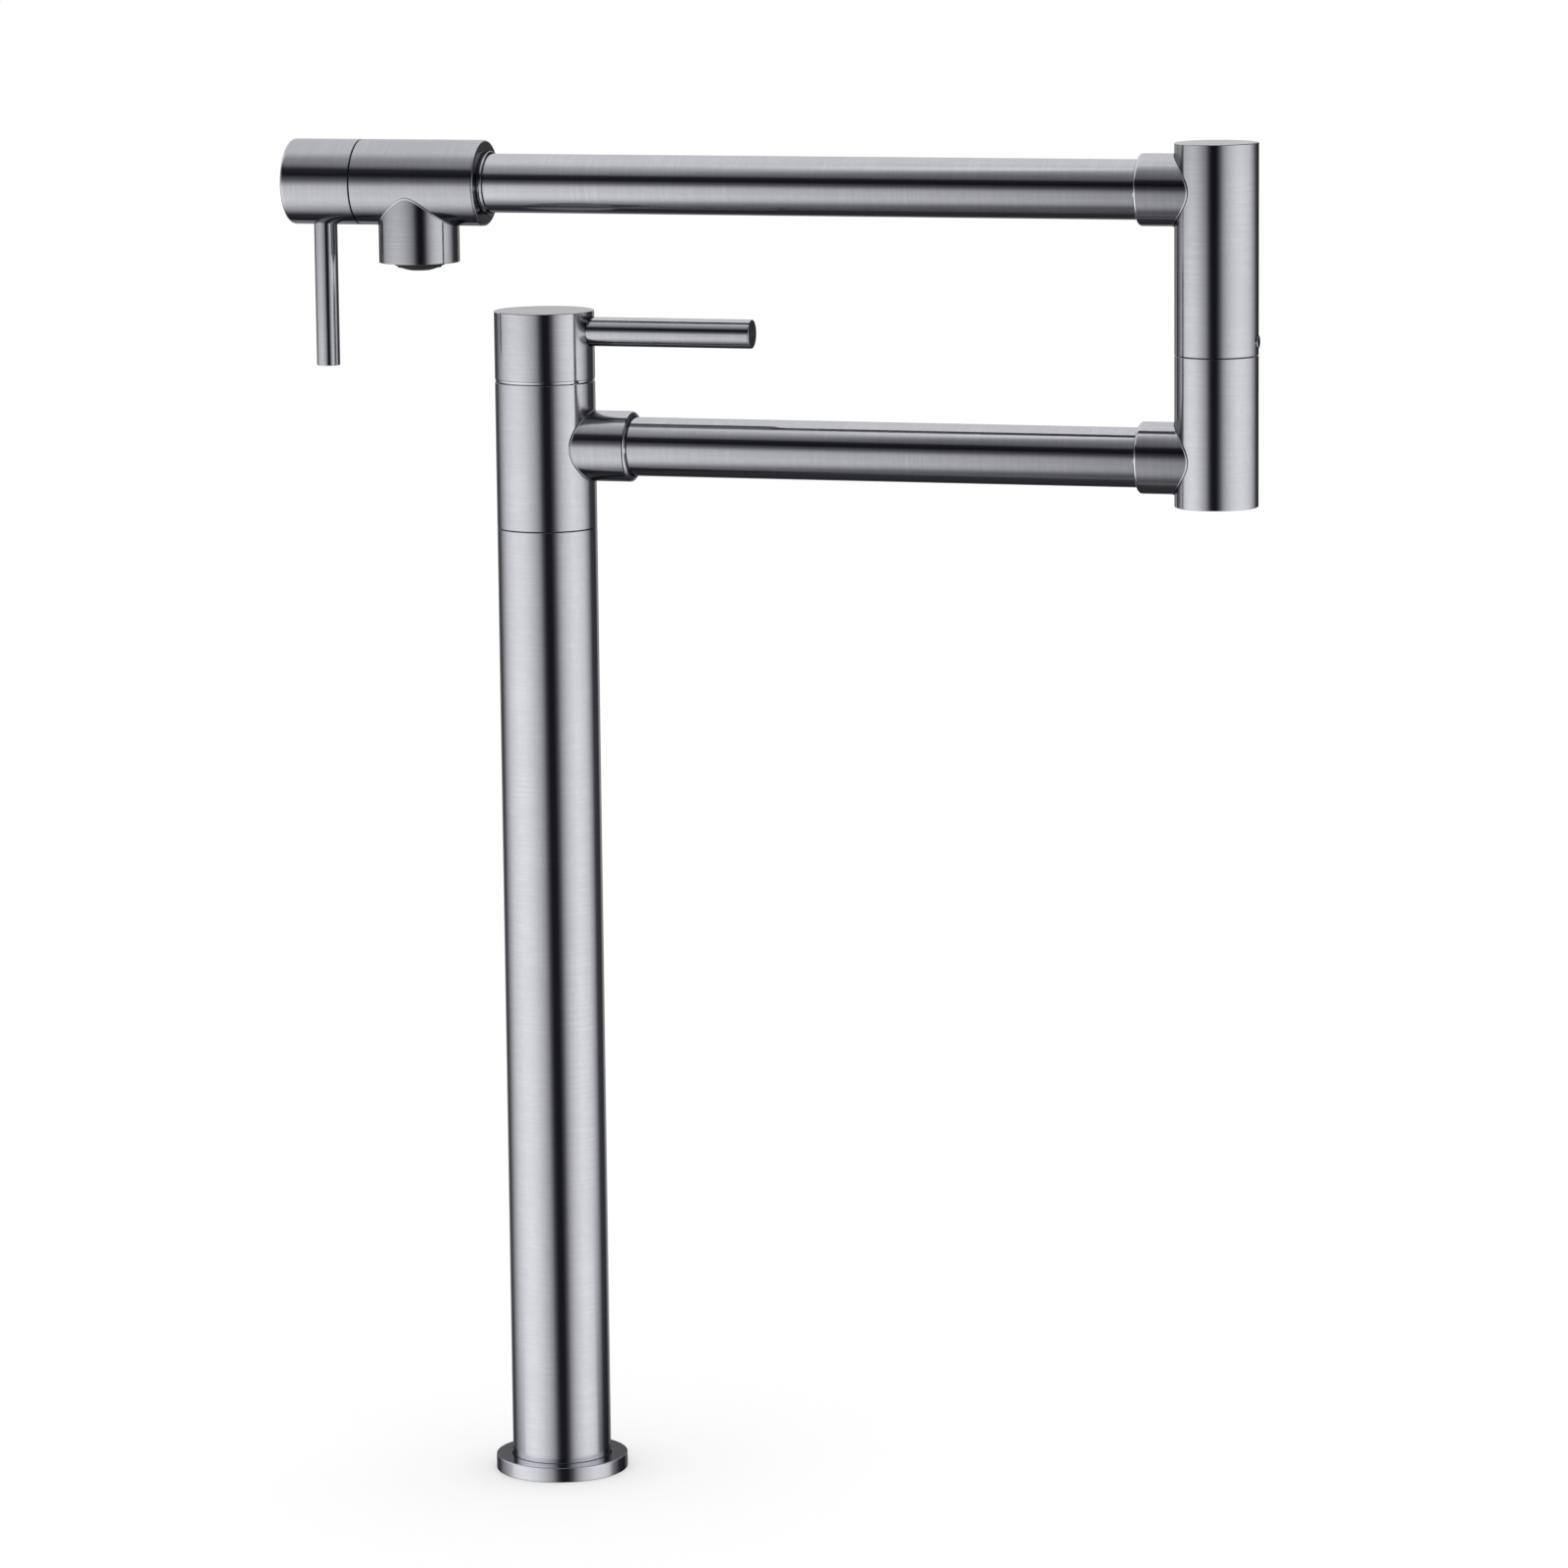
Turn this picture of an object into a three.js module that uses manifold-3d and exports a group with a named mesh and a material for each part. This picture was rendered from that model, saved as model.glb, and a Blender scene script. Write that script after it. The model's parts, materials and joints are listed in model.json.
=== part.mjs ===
// A deck mounted pot filler: a tall column with a quarter turn valve on top, and two jointed
// arms that fold over each other, with a second quarter turn valve and the spout at their end.
// Millimetres, +Z up. The origin is the middle of the flange's underside, on the deck. At rest
// the lower arm points along +X and the upper arm is folded back over it.

import * as THREE from "three";
import { mergeVertices } from "three/addons/utils/BufferGeometryUtils.js";
import Module from "manifold-3d";

const wasm = await Module();
wasm.setup();

// ---------------------------------------------------------------- driving dimensions

// Fits. A running pair turns, a snug pair doesn't, and stacked faces lie a seat gap apart.
const running = 0.3;
const snug = 0.25;
const seatGap = 0.3;
const edgeBreak = 0.35;

// Column and base.
const columnDiameter = 38;
const columnWall = 1.5;
const riserHeight = 367.8;
const riserFoot = 0.4;
const flangeDiameter = 51;
const flangeHeight = 5.7;
const flangeRound = 0.9;
const gasketWidth = 2.6;
const gasketThickness = 1.6;
const gasketInset = 1.8;
const insertHeight = 24;
const inletBore = 19;
const inletDepth = 15;
const supplyTubeDiameter = 12;
const supplyTubeWall = 1;
const supplySocketDepth = 6;

// Swivels. Each has a thrust washer in a recess, behind the wall that shows at the seam.
const swivelSeam = 0.4;
const washerThickness = 0.8;
const recessRim = 2.2;
const oRingSection = 1.6;
const oRingGrooveWidth = 2.2;

// Swivel at the top of the column.
const sleeveHeight = 55.3;
const sleeveWall = 4.9;
const sleeveRimWall = 2.1;
const lowerArmAboveSleeveFoot = 31.2;
const corePlugDepth = 18;
const corePassage = 8.4;
const coreWaistDepth = 2.2;
const coreWaistHeight = 18;
const corePortDiameter = 6;
const coreThreadDepth = 1.6;
const coreSealAboveFoot = 7.4;
const coreSealBelowNut = 4.4;
const retainingNutHeight = 4;
const retainingNutRecess = 2.4;
const retainingNutSlot = 3;
const topRingThickness = 0.7;
const topRingInset = 0.6;
const topRingWidth = 3.2;
const topRingSpigot = 1.6;
const handleGap = 1.4;

// Arms. Distances run from joint axis to joint axis.
const lowerArmReach = 260.4;
const armTubeDiameter = 22.2;
const armTubeWall = 1.2;
const armPortDiameter = 17;
const armSeatDepth = 2.4;
const collarWall = 2;
const collarEndFace = 0.3;
const innerCollarLength = 16.4;
const outerCollarLength = 13.4;

// Elbow.
const elbowDiameter = 31;
const elbowBore = 21.4;
const elbowShelf = 1.4;
const elbowEndWall = 5.8;
const elbowOverhang = 17.5;
const lowerElbowHeight = 55.8;
const upperElbowHeight = 77.7;
const spindleLength = 70;
const spindleFootDepth = 23.6;
const spindleBore = 13;
const elbowSealAboveScrew = 7.4;
const elbowSealBelowTop = 5.4;
const lockScrewDiameter = 5;
const lockScrewPoint = 3.4;
const lockScrewHeight = 4.9;
const lockScrewProud = 0.4;
const lockTrackWidth = 4.2;
const lockTrackDepth = 1.7;

// Outlet at the end of the upper arm.
const spoutReach = 309.9;
const outletDiameter = 32.4;
const outletInnerLength = 27.2;
const outletOuterLength = 22.2;
const outletSeam = 0.6;
const outletChamfer = 0.9;
const outletSocketDepth = 9.6;
const outletPassage = 10;
const tubeRingWall = 0.7;
const tubeRingLength = 1.8;
const spoutDiameter = 30.7;
const spoutDrop = 30.2;
const spoutPassage = 16;
const aeratorThreadDiameter = 23;
const aeratorThreadLength = 9.2;
const aeratorLipDiameter = 20;
const aeratorLipDrop = 1.9;
const aeratorBore = 16.6;
const aeratorWasherThickness = 1.4;
const screenThickness = 1;
const screenHole = 2;
const screenPitch = 3.1;
const screenRings = 2;

// Quarter turn cartridge, the same in both valves, measured up from its seat.
const cartridgeDiameter = 17.6;
const cartridgeLength = 28.8;
const cartridgeWall = 1.1;
const cartridgeSealThickness = 1.5;
const cartridgeSealWidth = 2.8;
const discThickness = 3;
const discPortInner = 2.2;
const discPortOuter = 6;
const discPortAngle = THREE.MathUtils.degToRad(76);
const windowDiameter = 5.2;
const stemDiameter = 8.1;
const stemFootDiameter = 13;
const stemFootHeight = 4;
const stemTangWidth = 3;
const stemTangDepth = 1.3;
const stemLength = 39;
const splineTeeth = 12;
const splineDepth = 0.4;
const splineLength = 10;
const bonnetLip = 2.6;
const bonnetHeight = 5.8;

// Handles.
const mainCapHeight = 25.6;
const mainCapRound = 0.4;
const mainLeverDiameter = 11;
const mainLeverReach = 82.3;
const mainLeverBelowTop = 7.8;
const outletCapLength = 27.4;
const outletCapRound = 1.6;
const outletLeverDiameter = 8.9;
const outletLeverReach = 70.1;
const outletLeverBelowTop = 12.5;
const capTopWall = 2.5;
const capSkirtWall = 2.6;
const bonnetHeadroom = 1.3;
const leverSocketDepth = 3.4;
const leverStudShare = 0.55;
const leverTipChamfer = 0.4;
const adaptorDiameter = 12;
const handleScrewDiameter = 4;
const handleScrewRecess = 0.5;
const hexSocketAcross = 2.3;
const hexSocketDepth = 2;

// How finely each kind of round is cut.
const shellSides = 28;
const innerSides = 16;
const smallSides = 12;
const sealSides = 6;
const roundSteps = 3;

// ---------------------------------------------------------------- sizes that follow

const columnRadius = columnDiameter / 2;
const columnBore = columnRadius - columnWall;
const elbowRadius = elbowDiameter / 2;
const armRadius = armTubeDiameter / 2;
const armSocketRadius = armRadius + snug;
const collarRadius = armSocketRadius + collarWall;
const outletRadius = outletDiameter / 2;
const adaptorRadius = adaptorDiameter / 2;

// The column's swivel.
const sleeveFoot = riserHeight + swivelSeam;
const sleeveTop = sleeveFoot + sleeveHeight;
const lowerArmHeight = sleeveFoot + lowerArmAboveSleeveFoot;
const sleeveBore = columnRadius - sleeveWall;
const journalRadius = sleeveBore - running;
const nutSpace = columnRadius - sleeveRimWall;
const nutFoot = sleeveTop - retainingNutRecess - retainingNutHeight;
const coreThread = journalRadius - coreThreadDepth;
const coreFoot = riserHeight - corePlugDepth;
const coreSocketTop = coreFoot + supplySocketDepth;

// The elbow.
const lowerElbowFoot = lowerArmHeight - elbowOverhang;
const lowerElbowTop = lowerElbowFoot + lowerElbowHeight;
const upperElbowFoot = lowerElbowTop + swivelSeam;
const upperElbowTop = upperElbowFoot + upperElbowHeight;
const upperArmHeight = upperElbowTop - elbowOverhang;
const spindleRadius = elbowBore / 2 - running;
const spindleFoot = lowerElbowTop - spindleFootDepth;
const spindleTop = spindleFoot + spindleLength;
const lockScrewAt = upperElbowFoot + lockScrewHeight;
const lockTrackFloor = spindleRadius - lockTrackDepth;

// The cartridge, from its seat up.
const cartridgeRadius = cartridgeDiameter / 2;
const cartridgeHole = cartridgeRadius + snug;
const housingBore = cartridgeRadius - cartridgeWall;
const discRadius = housingBore - running;
const fixedDiscFoot = 2 * seatGap + cartridgeSealThickness;
const movingDiscFoot = fixedDiscFoot + discThickness + seatGap;
const windowHeight = movingDiscFoot + discThickness / 2;
const stemFoot = movingDiscFoot + discThickness + seatGap;
const stemShoulder = stemFoot + stemFootHeight;
const stemTop = stemFoot + stemLength;
const stemHole = stemDiameter / 2 + running;
const bonnetFoot = cartridgeLength + seatGap;
const bonnetTop = bonnetFoot + bonnetHeight;
const mainSeat = sleeveTop - cartridgeLength;

// The outlet.
const outletInnerEnd = spoutReach - outletInnerLength;
const outletOuterEnd = spoutReach + outletOuterLength;
const outletSeat = outletOuterEnd - cartridgeLength;
const tubeInOutlet = outletInnerEnd + outletSocketDepth;
const aeratorTop = -spoutDrop + aeratorThreadLength;
const aeratorFoot = -spoutDrop - aeratorLipDrop;

// The two handles, each in its own valve's frame: the cap's top faces +Z, the lever lies along
// +X and the set screw along the side it is given.
const mainHandle = {
  capRadius: columnRadius,
  capFoot: cartridgeLength + handleGap,
  capTop: cartridgeLength + handleGap + mainCapHeight,
  capRound: mainCapRound,
  leverRadius: mainLeverDiameter / 2,
  leverReach: mainLeverReach,
  leverBelowTop: mainLeverBelowTop,
  screwDirection: 90,
};
const outletHandle = {
  capRadius: outletRadius,
  capFoot: cartridgeLength + outletSeam,
  capTop: cartridgeLength + outletSeam + outletCapLength,
  capRound: outletCapRound,
  leverRadius: outletLeverDiameter / 2,
  leverReach: outletLeverReach,
  leverBelowTop: outletLeverBelowTop,
  screwDirection: -90,
};

// ---------------------------------------------------------------- materials

function brushedSteel() {
  return new THREE.MeshStandardMaterial({ color: 0x9b9ba1, metalness: 1, roughness: 0.34 });
}

function polishedSteel() {
  return new THREE.MeshStandardMaterial({ color: 0xd4d5d8, metalness: 1, roughness: 0.08 });
}

function turnedBrass() {
  return new THREE.MeshStandardMaterial({ color: 0xb59a57, metalness: 1, roughness: 0.4 });
}

function sealRubber() {
  return new THREE.MeshStandardMaterial({ color: 0x151516, metalness: 0, roughness: 0.8 });
}

function slipPlastic() {
  return new THREE.MeshStandardMaterial({ color: 0x2b2b2d, metalness: 0, roughness: 0.5 });
}

function discCeramic() {
  return new THREE.MeshStandardMaterial({ color: 0xe9e6df, metalness: 0, roughness: 0.25 });
}

// ---------------------------------------------------------------- solids

// A closed geometry as a solid, with its shared corners merged and collapsed faces dropped.
function solidOf(geometry) {
  const bare = new THREE.BufferGeometry();
  bare.setAttribute("position", geometry.getAttribute("position"));
  bare.setIndex(geometry.getIndex());
  const merged = mergeVertices(bare, 1e-4);
  const corners = merged.index.array;
  const kept = [];
  for (let i = 0; i < corners.length; i += 3) {
    const [a, b, c] = [corners[i], corners[i + 1], corners[i + 2]];
    if (a !== b && b !== c && c !== a) kept.push(a, b, c);
  }
  const vertProperties = new Float32Array(merged.getAttribute("position").array);
  const triVerts = new Uint32Array(kept);
  return new wasm.Manifold(new wasm.Mesh({ numProp: 3, vertProperties, triVerts }));
}

// A solid back as a geometry.
function geometryOf(solid) {
  const mesh = solid.getMesh();
  const geometry = new THREE.BufferGeometry();
  geometry.setAttribute("position", new THREE.BufferAttribute(mesh.vertProperties, 3));
  geometry.setIndex(new THREE.BufferAttribute(mesh.triVerts, 1));
  geometry.computeVertexNormals();
  return geometry;
}

// A turned part about Z. The profile is a list of [radius, height] that starts and ends on the
// axis, or else goes round a ring and is closed here. Either way round, it faces outwards.
function turned(profile, sides = shellSides) {
  const points = profile.map(([radius, height]) => new THREE.Vector2(radius, height));
  const onAxis = profile[0][0] === 0 && profile[profile.length - 1][0] === 0;
  if (!onAxis) points.push(points[0].clone());
  if (THREE.ShapeUtils.area(points) < 0) points.reverse();
  return solidOf(new THREE.LatheGeometry(points, sides).rotateX(Math.PI / 2));
}

// A plain round bar between two heights.
function bar(radius, foot, top, sides = shellSides) {
  return turned([[0, foot], [radius, foot], [radius, top], [0, top]], sides);
}

// A plain ring between two heights.
function ring(inner, outer, foot, top, sides = innerSides) {
  return turned([[inner, foot], [outer, foot], [outer, top], [inner, top]], sides);
}

// The points that round off a profile's outer top corner.
function roundedCorner(radius, height, size) {
  const points = [];
  for (let i = 0; i <= roundSteps; i++) {
    const angle = (i / roundSteps) * (Math.PI / 2);
    const inset = size * (1 - Math.cos(angle));
    points.push([radius - inset, height - size + size * Math.sin(angle)]);
  }
  return points;
}

// The points of an O-ring groove in an upright journal, from below.
function groove(journal, height) {
  const half = oRingGrooveWidth / 2;
  const floor = journal - oRingSection;
  return [
    [journal, height - half],
    [floor, height - half],
    [floor, height + half],
    [journal, height + half],
  ];
}

// An O-ring in that groove.
function oRing(journal, height) {
  const radius = oRingSection / 2;
  const middle = journal - radius + snug / 2;
  const section = [];
  for (let i = 0; i < sealSides; i++) {
    const angle = (2 * Math.PI * i) / sealSides;
    section.push([middle + radius * Math.cos(angle), height + radius * Math.sin(angle)]);
  }
  return turned(section, innerSides);
}

// A flat shape in XY pushed up from one height to another.
function pushed(shape, foot, top, curveSegments = innerSides / 2) {
  const settings = { depth: top - foot, bevelEnabled: false, curveSegments };
  return solidOf(new THREE.ExtrudeGeometry(shape, settings).translate(0, 0, foot));
}

// A regular polygon by its distance across the corners.
function polygon(acrossCorners, sides, cx = 0, cy = 0) {
  const corners = [];
  for (let i = 0; i < sides; i++) {
    const angle = (2 * Math.PI * i) / sides;
    const x = cx + (acrossCorners / 2) * Math.cos(angle);
    const y = cy + (acrossCorners / 2) * Math.sin(angle);
    corners.push(new THREE.Vector2(x, y));
  }
  return new THREE.Shape(corners);
}

const alongX = (solid) => solid.rotate([0, 90, 0]);
const alongY = (solid) => solid.rotate([-90, 0, 0]);
const turnedTo = (solid, degrees) => solid.rotate([0, 0, degrees]);
const raised = (solid, height) => solid.translate([0, 0, height]);

// A named mesh.
function piece(name, material, solid) {
  const mesh = new THREE.Mesh(geometryOf(solid), material);
  mesh.name = name;
  return mesh;
}

// A hexagon socket at the top of a set screw along Z.
function hexSocket(head) {
  return pushed(polygon(hexSocketAcross, 6), head - hexSocketDepth, head + hexSocketDepth);
}

// ---------------------------------------------------------------- base and column

function baseFlange() {
  const outer = flangeDiameter / 2;
  const inner = columnRadius + snug;
  const grooveOuter = outer - gasketInset + snug;
  const grooveInner = outer - gasketInset - gasketWidth - snug;
  const grooveTop = gasketThickness + seatGap;
  return turned([
    [inner, 0],
    [grooveInner, 0],
    [grooveInner, grooveTop],
    [grooveOuter, grooveTop],
    [grooveOuter, 0],
    [outer - edgeBreak, 0],
    [outer, edgeBreak],
    ...roundedCorner(outer, flangeHeight, flangeRound),
    [inner, flangeHeight],
  ]);
}

function baseGasket() {
  const outer = flangeDiameter / 2 - gasketInset;
  return ring(outer - gasketWidth, outer, 0, gasketThickness, shellSides);
}

// A turned plug in the column's foot: a threaded socket below, the supply tube's socket above.
function baseInsert() {
  const outer = columnBore - snug;
  const socket = supplyTubeDiameter / 2 + snug;
  const bore = inletBore / 2;
  const top = riserFoot + insertHeight;
  const shelf = top - supplySocketDepth;
  const profile = [
    [bore + edgeBreak, riserFoot],
    [outer, riserFoot],
    [outer, top],
    [socket, top],
    [socket, shelf],
    [socket - supplyTubeWall, shelf],
    [bore, riserFoot + inletDepth],
    [bore, riserFoot + edgeBreak],
  ];
  return turned(profile, innerSides);
}

function riserTube() {
  return turned([
    [columnBore, riserFoot],
    [columnRadius, riserFoot],
    [columnRadius, riserHeight - edgeBreak],
    [columnRadius - edgeBreak, riserHeight],
    [columnBore, riserHeight],
  ]);
}

function supplyTube() {
  const radius = supplyTubeDiameter / 2;
  const foot = riserFoot + insertHeight - supplySocketDepth + seatGap;
  return ring(radius - supplyTubeWall, radius, foot, coreSocketTop - seatGap, smallSides);
}

// ---------------------------------------------------------------- column swivel

const lowerCoreSeal = riserHeight + coreSealAboveFoot;
const upperCoreSeal = nutFoot - coreSealBelowNut;

// The fixed body in the column's top: the arm's sleeve turns on its journal, and the cartridge
// sits in it. Water leaves the cartridge through the cross ports into the waist.
function swivelCore() {
  const plug = columnBore - snug;
  const socket = supplyTubeDiameter / 2 + snug;
  const waist = journalRadius - coreWaistDepth;
  const waistFoot = lowerArmHeight - coreWaistHeight / 2;
  const waistTop = lowerArmHeight + coreWaistHeight / 2;
  const profile = [
    [socket, coreFoot],
    [plug, coreFoot],
    [plug, riserHeight],
    [journalRadius, riserHeight],
    ...groove(journalRadius, lowerCoreSeal),
    [journalRadius, waistFoot],
    [waist, waistFoot],
    [waist, waistTop],
    [journalRadius, waistTop],
    ...groove(journalRadius, upperCoreSeal),
    [journalRadius, nutFoot - seatGap],
    [coreThread, nutFoot - seatGap],
    [coreThread, sleeveTop],
    [cartridgeHole, sleeveTop],
    [cartridgeHole, mainSeat],
    [corePassage / 2, mainSeat],
    [corePassage / 2, coreSocketTop],
    [socket, coreSocketTop],
  ];
  const cross = bar(corePortDiameter / 2, -journalRadius, journalRadius, smallSides);
  const ports = alongX(cross).add(alongY(cross));
  return turned(profile, innerSides).subtract(raised(ports, mainSeat + windowHeight));
}

// A slip washer on a journal, in the recess round it.
function thrustWasher(journal, postRadius, seat) {
  const outer = postRadius - recessRim - running;
  const foot = seat + seatGap;
  return ring(journal + running, outer, foot, foot + washerThickness);
}

const recessTop = (seat) => seat + washerThickness + 2 * seatGap;

// A round nut with four spanner slots, which keeps the sleeve on the core.
function retainingNut() {
  const outer = nutSpace - running;
  const top = nutFoot + retainingNutHeight;
  const slot = new THREE.BoxGeometry(2 * columnDiameter, retainingNutSlot, retainingNutHeight);
  const cut = raised(solidOf(slot), top);
  const cross = cut.add(turnedTo(cut, 90));
  return ring(coreThread + snug, outer, nutFoot, top).subtract(cross);
}

// The sleeve that turns on the core and carries the lower arm.
function swivelBody() {
  const recess = columnRadius - recessRim;
  const sleeve = turned([
    [recess, sleeveFoot],
    [columnRadius - edgeBreak, sleeveFoot],
    [columnRadius, sleeveFoot + edgeBreak],
    [columnRadius, sleeveTop - edgeBreak],
    [columnRadius - edgeBreak, sleeveTop],
    [nutSpace, sleeveTop],
    [nutSpace, nutFoot - seatGap],
    [sleeveBore, nutFoot - seatGap],
    [sleeveBore, recessTop(riserHeight)],
    [recess, recessTop(riserHeight)],
  ]);
  return sleeve.subtract(raised(armSocket(columnRadius), lowerArmHeight));
}

// A polished ring on top of the sleeve, in the gap under the main handle. Its spigot drops into
// the sleeve.
function topRing() {
  const outer = columnRadius - topRingInset;
  const inner = outer - topRingWidth;
  const spigot = nutSpace - snug;
  const foot = sleeveTop + seatGap;
  return turned([
    [inner, sleeveTop - topRingSpigot],
    [spigot, sleeveTop - topRingSpigot],
    [spigot, foot],
    [outer, foot],
    [outer, foot + topRingThickness],
    [inner, foot + topRingThickness],
  ]);
}

// ---------------------------------------------------------------- arms

// What is cut from a post for an arm along +X: a water port and the tube's flat-floored seat.
function armSocket(postRadius) {
  const port = bar(armPortDiameter / 2, 0, postRadius, innerSides);
  const seat = bar(armSocketRadius, postRadius - armSeatDepth, postRadius + armSeatDepth);
  return alongX(port.add(seat));
}

// A collar over the end of an arm tube, along +X, coped to sit round an upright post at x = 0.
// Its far end slopes down to the tube.
function armCollar(postRadius, length) {
  const end = postRadius + length;
  const chamfer = collarWall - collarEndFace;
  const blank = turned([
    [armSocketRadius, 0],
    [collarRadius, 0],
    [collarRadius, end - chamfer],
    [collarRadius - chamfer, end],
    [armSocketRadius, end],
  ]);
  const post = bar(postRadius + snug, -2 * collarRadius, 2 * collarRadius);
  return alongX(blank).subtract(post);
}

// A tube along +X, from one place to another.
function armTube(start, end) {
  return alongX(ring(armRadius - armTubeWall, armRadius, start, end, shellSides));
}

const seatIn = (postRadius) => postRadius - armSeatDepth + seatGap;

// ---------------------------------------------------------------- elbow

const lowerElbowSeal = lockScrewAt + elbowSealAboveScrew;
const upperElbowSeal = spindleTop - elbowSealBelowTop;

// The lower post: closed at its foot, bored from above, with a shelf that the spindle stands on.
function lowerElbowPost() {
  const bore = elbowBore / 2;
  const shelf = spindleFoot - seatGap;
  const floor = lowerElbowFoot + elbowEndWall;
  const post = turned([
    [0, lowerElbowFoot],
    [elbowRadius - edgeBreak, lowerElbowFoot],
    [elbowRadius, lowerElbowFoot + edgeBreak],
    [elbowRadius, lowerElbowTop - edgeBreak],
    [elbowRadius - edgeBreak, lowerElbowTop],
    [bore, lowerElbowTop],
    [bore, shelf],
    [bore - elbowShelf, shelf],
    [bore - elbowShelf, floor],
    [0, floor],
  ]);
  return post.subtract(raised(turnedTo(armSocket(elbowRadius), 180), lowerArmHeight));
}

// The hollow spindle, fixed in the lower post. The upper post turns on it, and a lock screw
// that runs in its track holds the two together.
function elbowSpindle() {
  const half = lockTrackWidth / 2;
  const profile = [
    [spindleBore / 2, spindleFoot],
    [spindleRadius, spindleFoot],
    [spindleRadius, lockScrewAt - half],
    [lockTrackFloor, lockScrewAt - half],
    [lockTrackFloor, lockScrewAt + half],
    [spindleRadius, lockScrewAt + half],
    ...groove(spindleRadius, lowerElbowSeal),
    ...groove(spindleRadius, upperElbowSeal),
    [spindleRadius, spindleTop - edgeBreak],
    [spindleRadius - edgeBreak, spindleTop],
    [spindleBore / 2, spindleTop],
  ];
  return turned(profile, innerSides);
}

// The upper post: closed on top, bored from below, with the lock screw's hole in its back.
function upperElbowPost() {
  const bore = elbowBore / 2;
  const recess = elbowRadius - recessRim;
  const post = turned([
    [recess, upperElbowFoot],
    [elbowRadius - edgeBreak, upperElbowFoot],
    [elbowRadius, upperElbowFoot + edgeBreak],
    [elbowRadius, upperElbowTop - edgeBreak],
    [elbowRadius - edgeBreak, upperElbowTop],
    [0, upperElbowTop],
    [0, upperElbowTop - elbowEndWall],
    [bore, upperElbowTop - elbowEndWall],
    [bore, recessTop(lowerElbowTop)],
    [recess, recessTop(lowerElbowTop)],
  ]);
  const hole = bar(lockScrewDiameter / 2 + snug, 0, elbowDiameter, smallSides);
  return post
    .subtract(raised(armSocket(elbowRadius), upperArmHeight))
    .subtract(raised(turnedTo(alongX(hole), 180), lockScrewAt));
}

// The lock screw, with a plain point that runs in the spindle's track.
function lockScrew() {
  const radius = lockScrewDiameter / 2;
  const point = lockScrewPoint / 2;
  const head = elbowRadius + lockScrewProud;
  const profile = [
    [0, lockTrackFloor + running],
    [point, lockTrackFloor + running],
    [point, elbowBore / 2 + running],
    [radius, elbowBore / 2 + running],
    [radius, head - edgeBreak],
    [radius - edgeBreak, head],
    [0, head],
  ];
  const screw = turned(profile, smallSides).subtract(hexSocket(head));
  return raised(turnedTo(alongX(screw), 180), lockScrewAt);
}

// ---------------------------------------------------------------- outlet, along +X

// The body over the spout: the tube's socket at one end and the cartridge's at the other.
function outletBody() {
  const passage = outletPassage / 2;
  const body = turned([
    [armSocketRadius, outletInnerEnd],
    [outletRadius - outletChamfer, outletInnerEnd],
    [outletRadius, outletInnerEnd + outletChamfer],
    [outletRadius, outletOuterEnd - edgeBreak],
    [outletRadius - edgeBreak, outletOuterEnd],
    [cartridgeHole, outletOuterEnd],
    [cartridgeHole, outletSeat],
    [passage, outletSeat],
    [passage, tubeInOutlet],
    [armSocketRadius, tubeInOutlet],
  ]);
  const port = bar(spoutPassage / 2, -outletDiameter, 0, innerSides);
  return alongX(body).subtract(port.translate([spoutReach, 0, 0]));
}

// A small ring round the tube, against the outlet body's end.
function tubeRing() {
  const outer = armSocketRadius + tubeRingWall;
  const end = outletInnerEnd - seatGap;
  const start = end - tubeRingLength;
  const ringSolid = turned([
    [armSocketRadius, start],
    [outer - edgeBreak, start],
    [outer, start + edgeBreak],
    [outer, end],
    [armSocketRadius, end],
  ]);
  return alongX(ringSolid);
}

// The spout: an upright nozzle coped to sit under the outlet body, threaded for the aerator.
function spoutNozzle() {
  const outer = spoutDiameter / 2;
  const thread = aeratorThreadDiameter / 2 + snug;
  const threadTop = aeratorTop + aeratorWasherThickness + 2 * seatGap;
  const blank = turned([
    [thread, -spoutDrop],
    [outer - edgeBreak, -spoutDrop],
    [outer, -spoutDrop + edgeBreak],
    [outer, 0],
    [spoutPassage / 2, 0],
    [spoutPassage / 2, threadTop],
    [thread, threadTop],
  ]);
  return blank.subtract(alongX(bar(outletRadius + snug, -spoutDiameter, spoutDiameter)));
}

function aeratorHousing() {
  const outer = aeratorThreadDiameter / 2;
  const lip = aeratorLipDiameter / 2;
  const bore = aeratorBore / 2;
  const shoulder = -spoutDrop + seatGap;
  const profile = [
    [bore, aeratorFoot],
    [lip - 2 * edgeBreak, aeratorFoot],
    [lip, aeratorFoot + 2 * edgeBreak],
    [lip, shoulder],
    [outer, shoulder],
    [outer, aeratorTop],
    [bore, aeratorTop],
  ];
  return turned(profile, innerSides);
}

function aeratorWasher() {
  const foot = aeratorTop + seatGap;
  return ring(aeratorBore / 2, aeratorThreadDiameter / 2, foot, foot + aeratorWasherThickness);
}

// A round screen with rings of small holes round a middle one.
function aeratorScreen() {
  const disc = new THREE.Shape();
  disc.absarc(0, 0, aeratorBore / 2 - snug, 0, 2 * Math.PI);
  disc.holes.push(polygon(screenHole, 6));
  for (let count = 1; count <= screenRings; count++) {
    for (let i = 0; i < 6 * count; i++) {
      const angle = (2 * Math.PI * i) / (6 * count);
      const away = count * screenPitch;
      disc.holes.push(polygon(screenHole, 6, away * Math.cos(angle), away * Math.sin(angle)));
    }
  }
  const foot = aeratorFoot + 2 * edgeBreak;
  return pushed(disc, foot, foot + screenThickness);
}

// ---------------------------------------------------------------- cartridge, up from its seat

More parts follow.
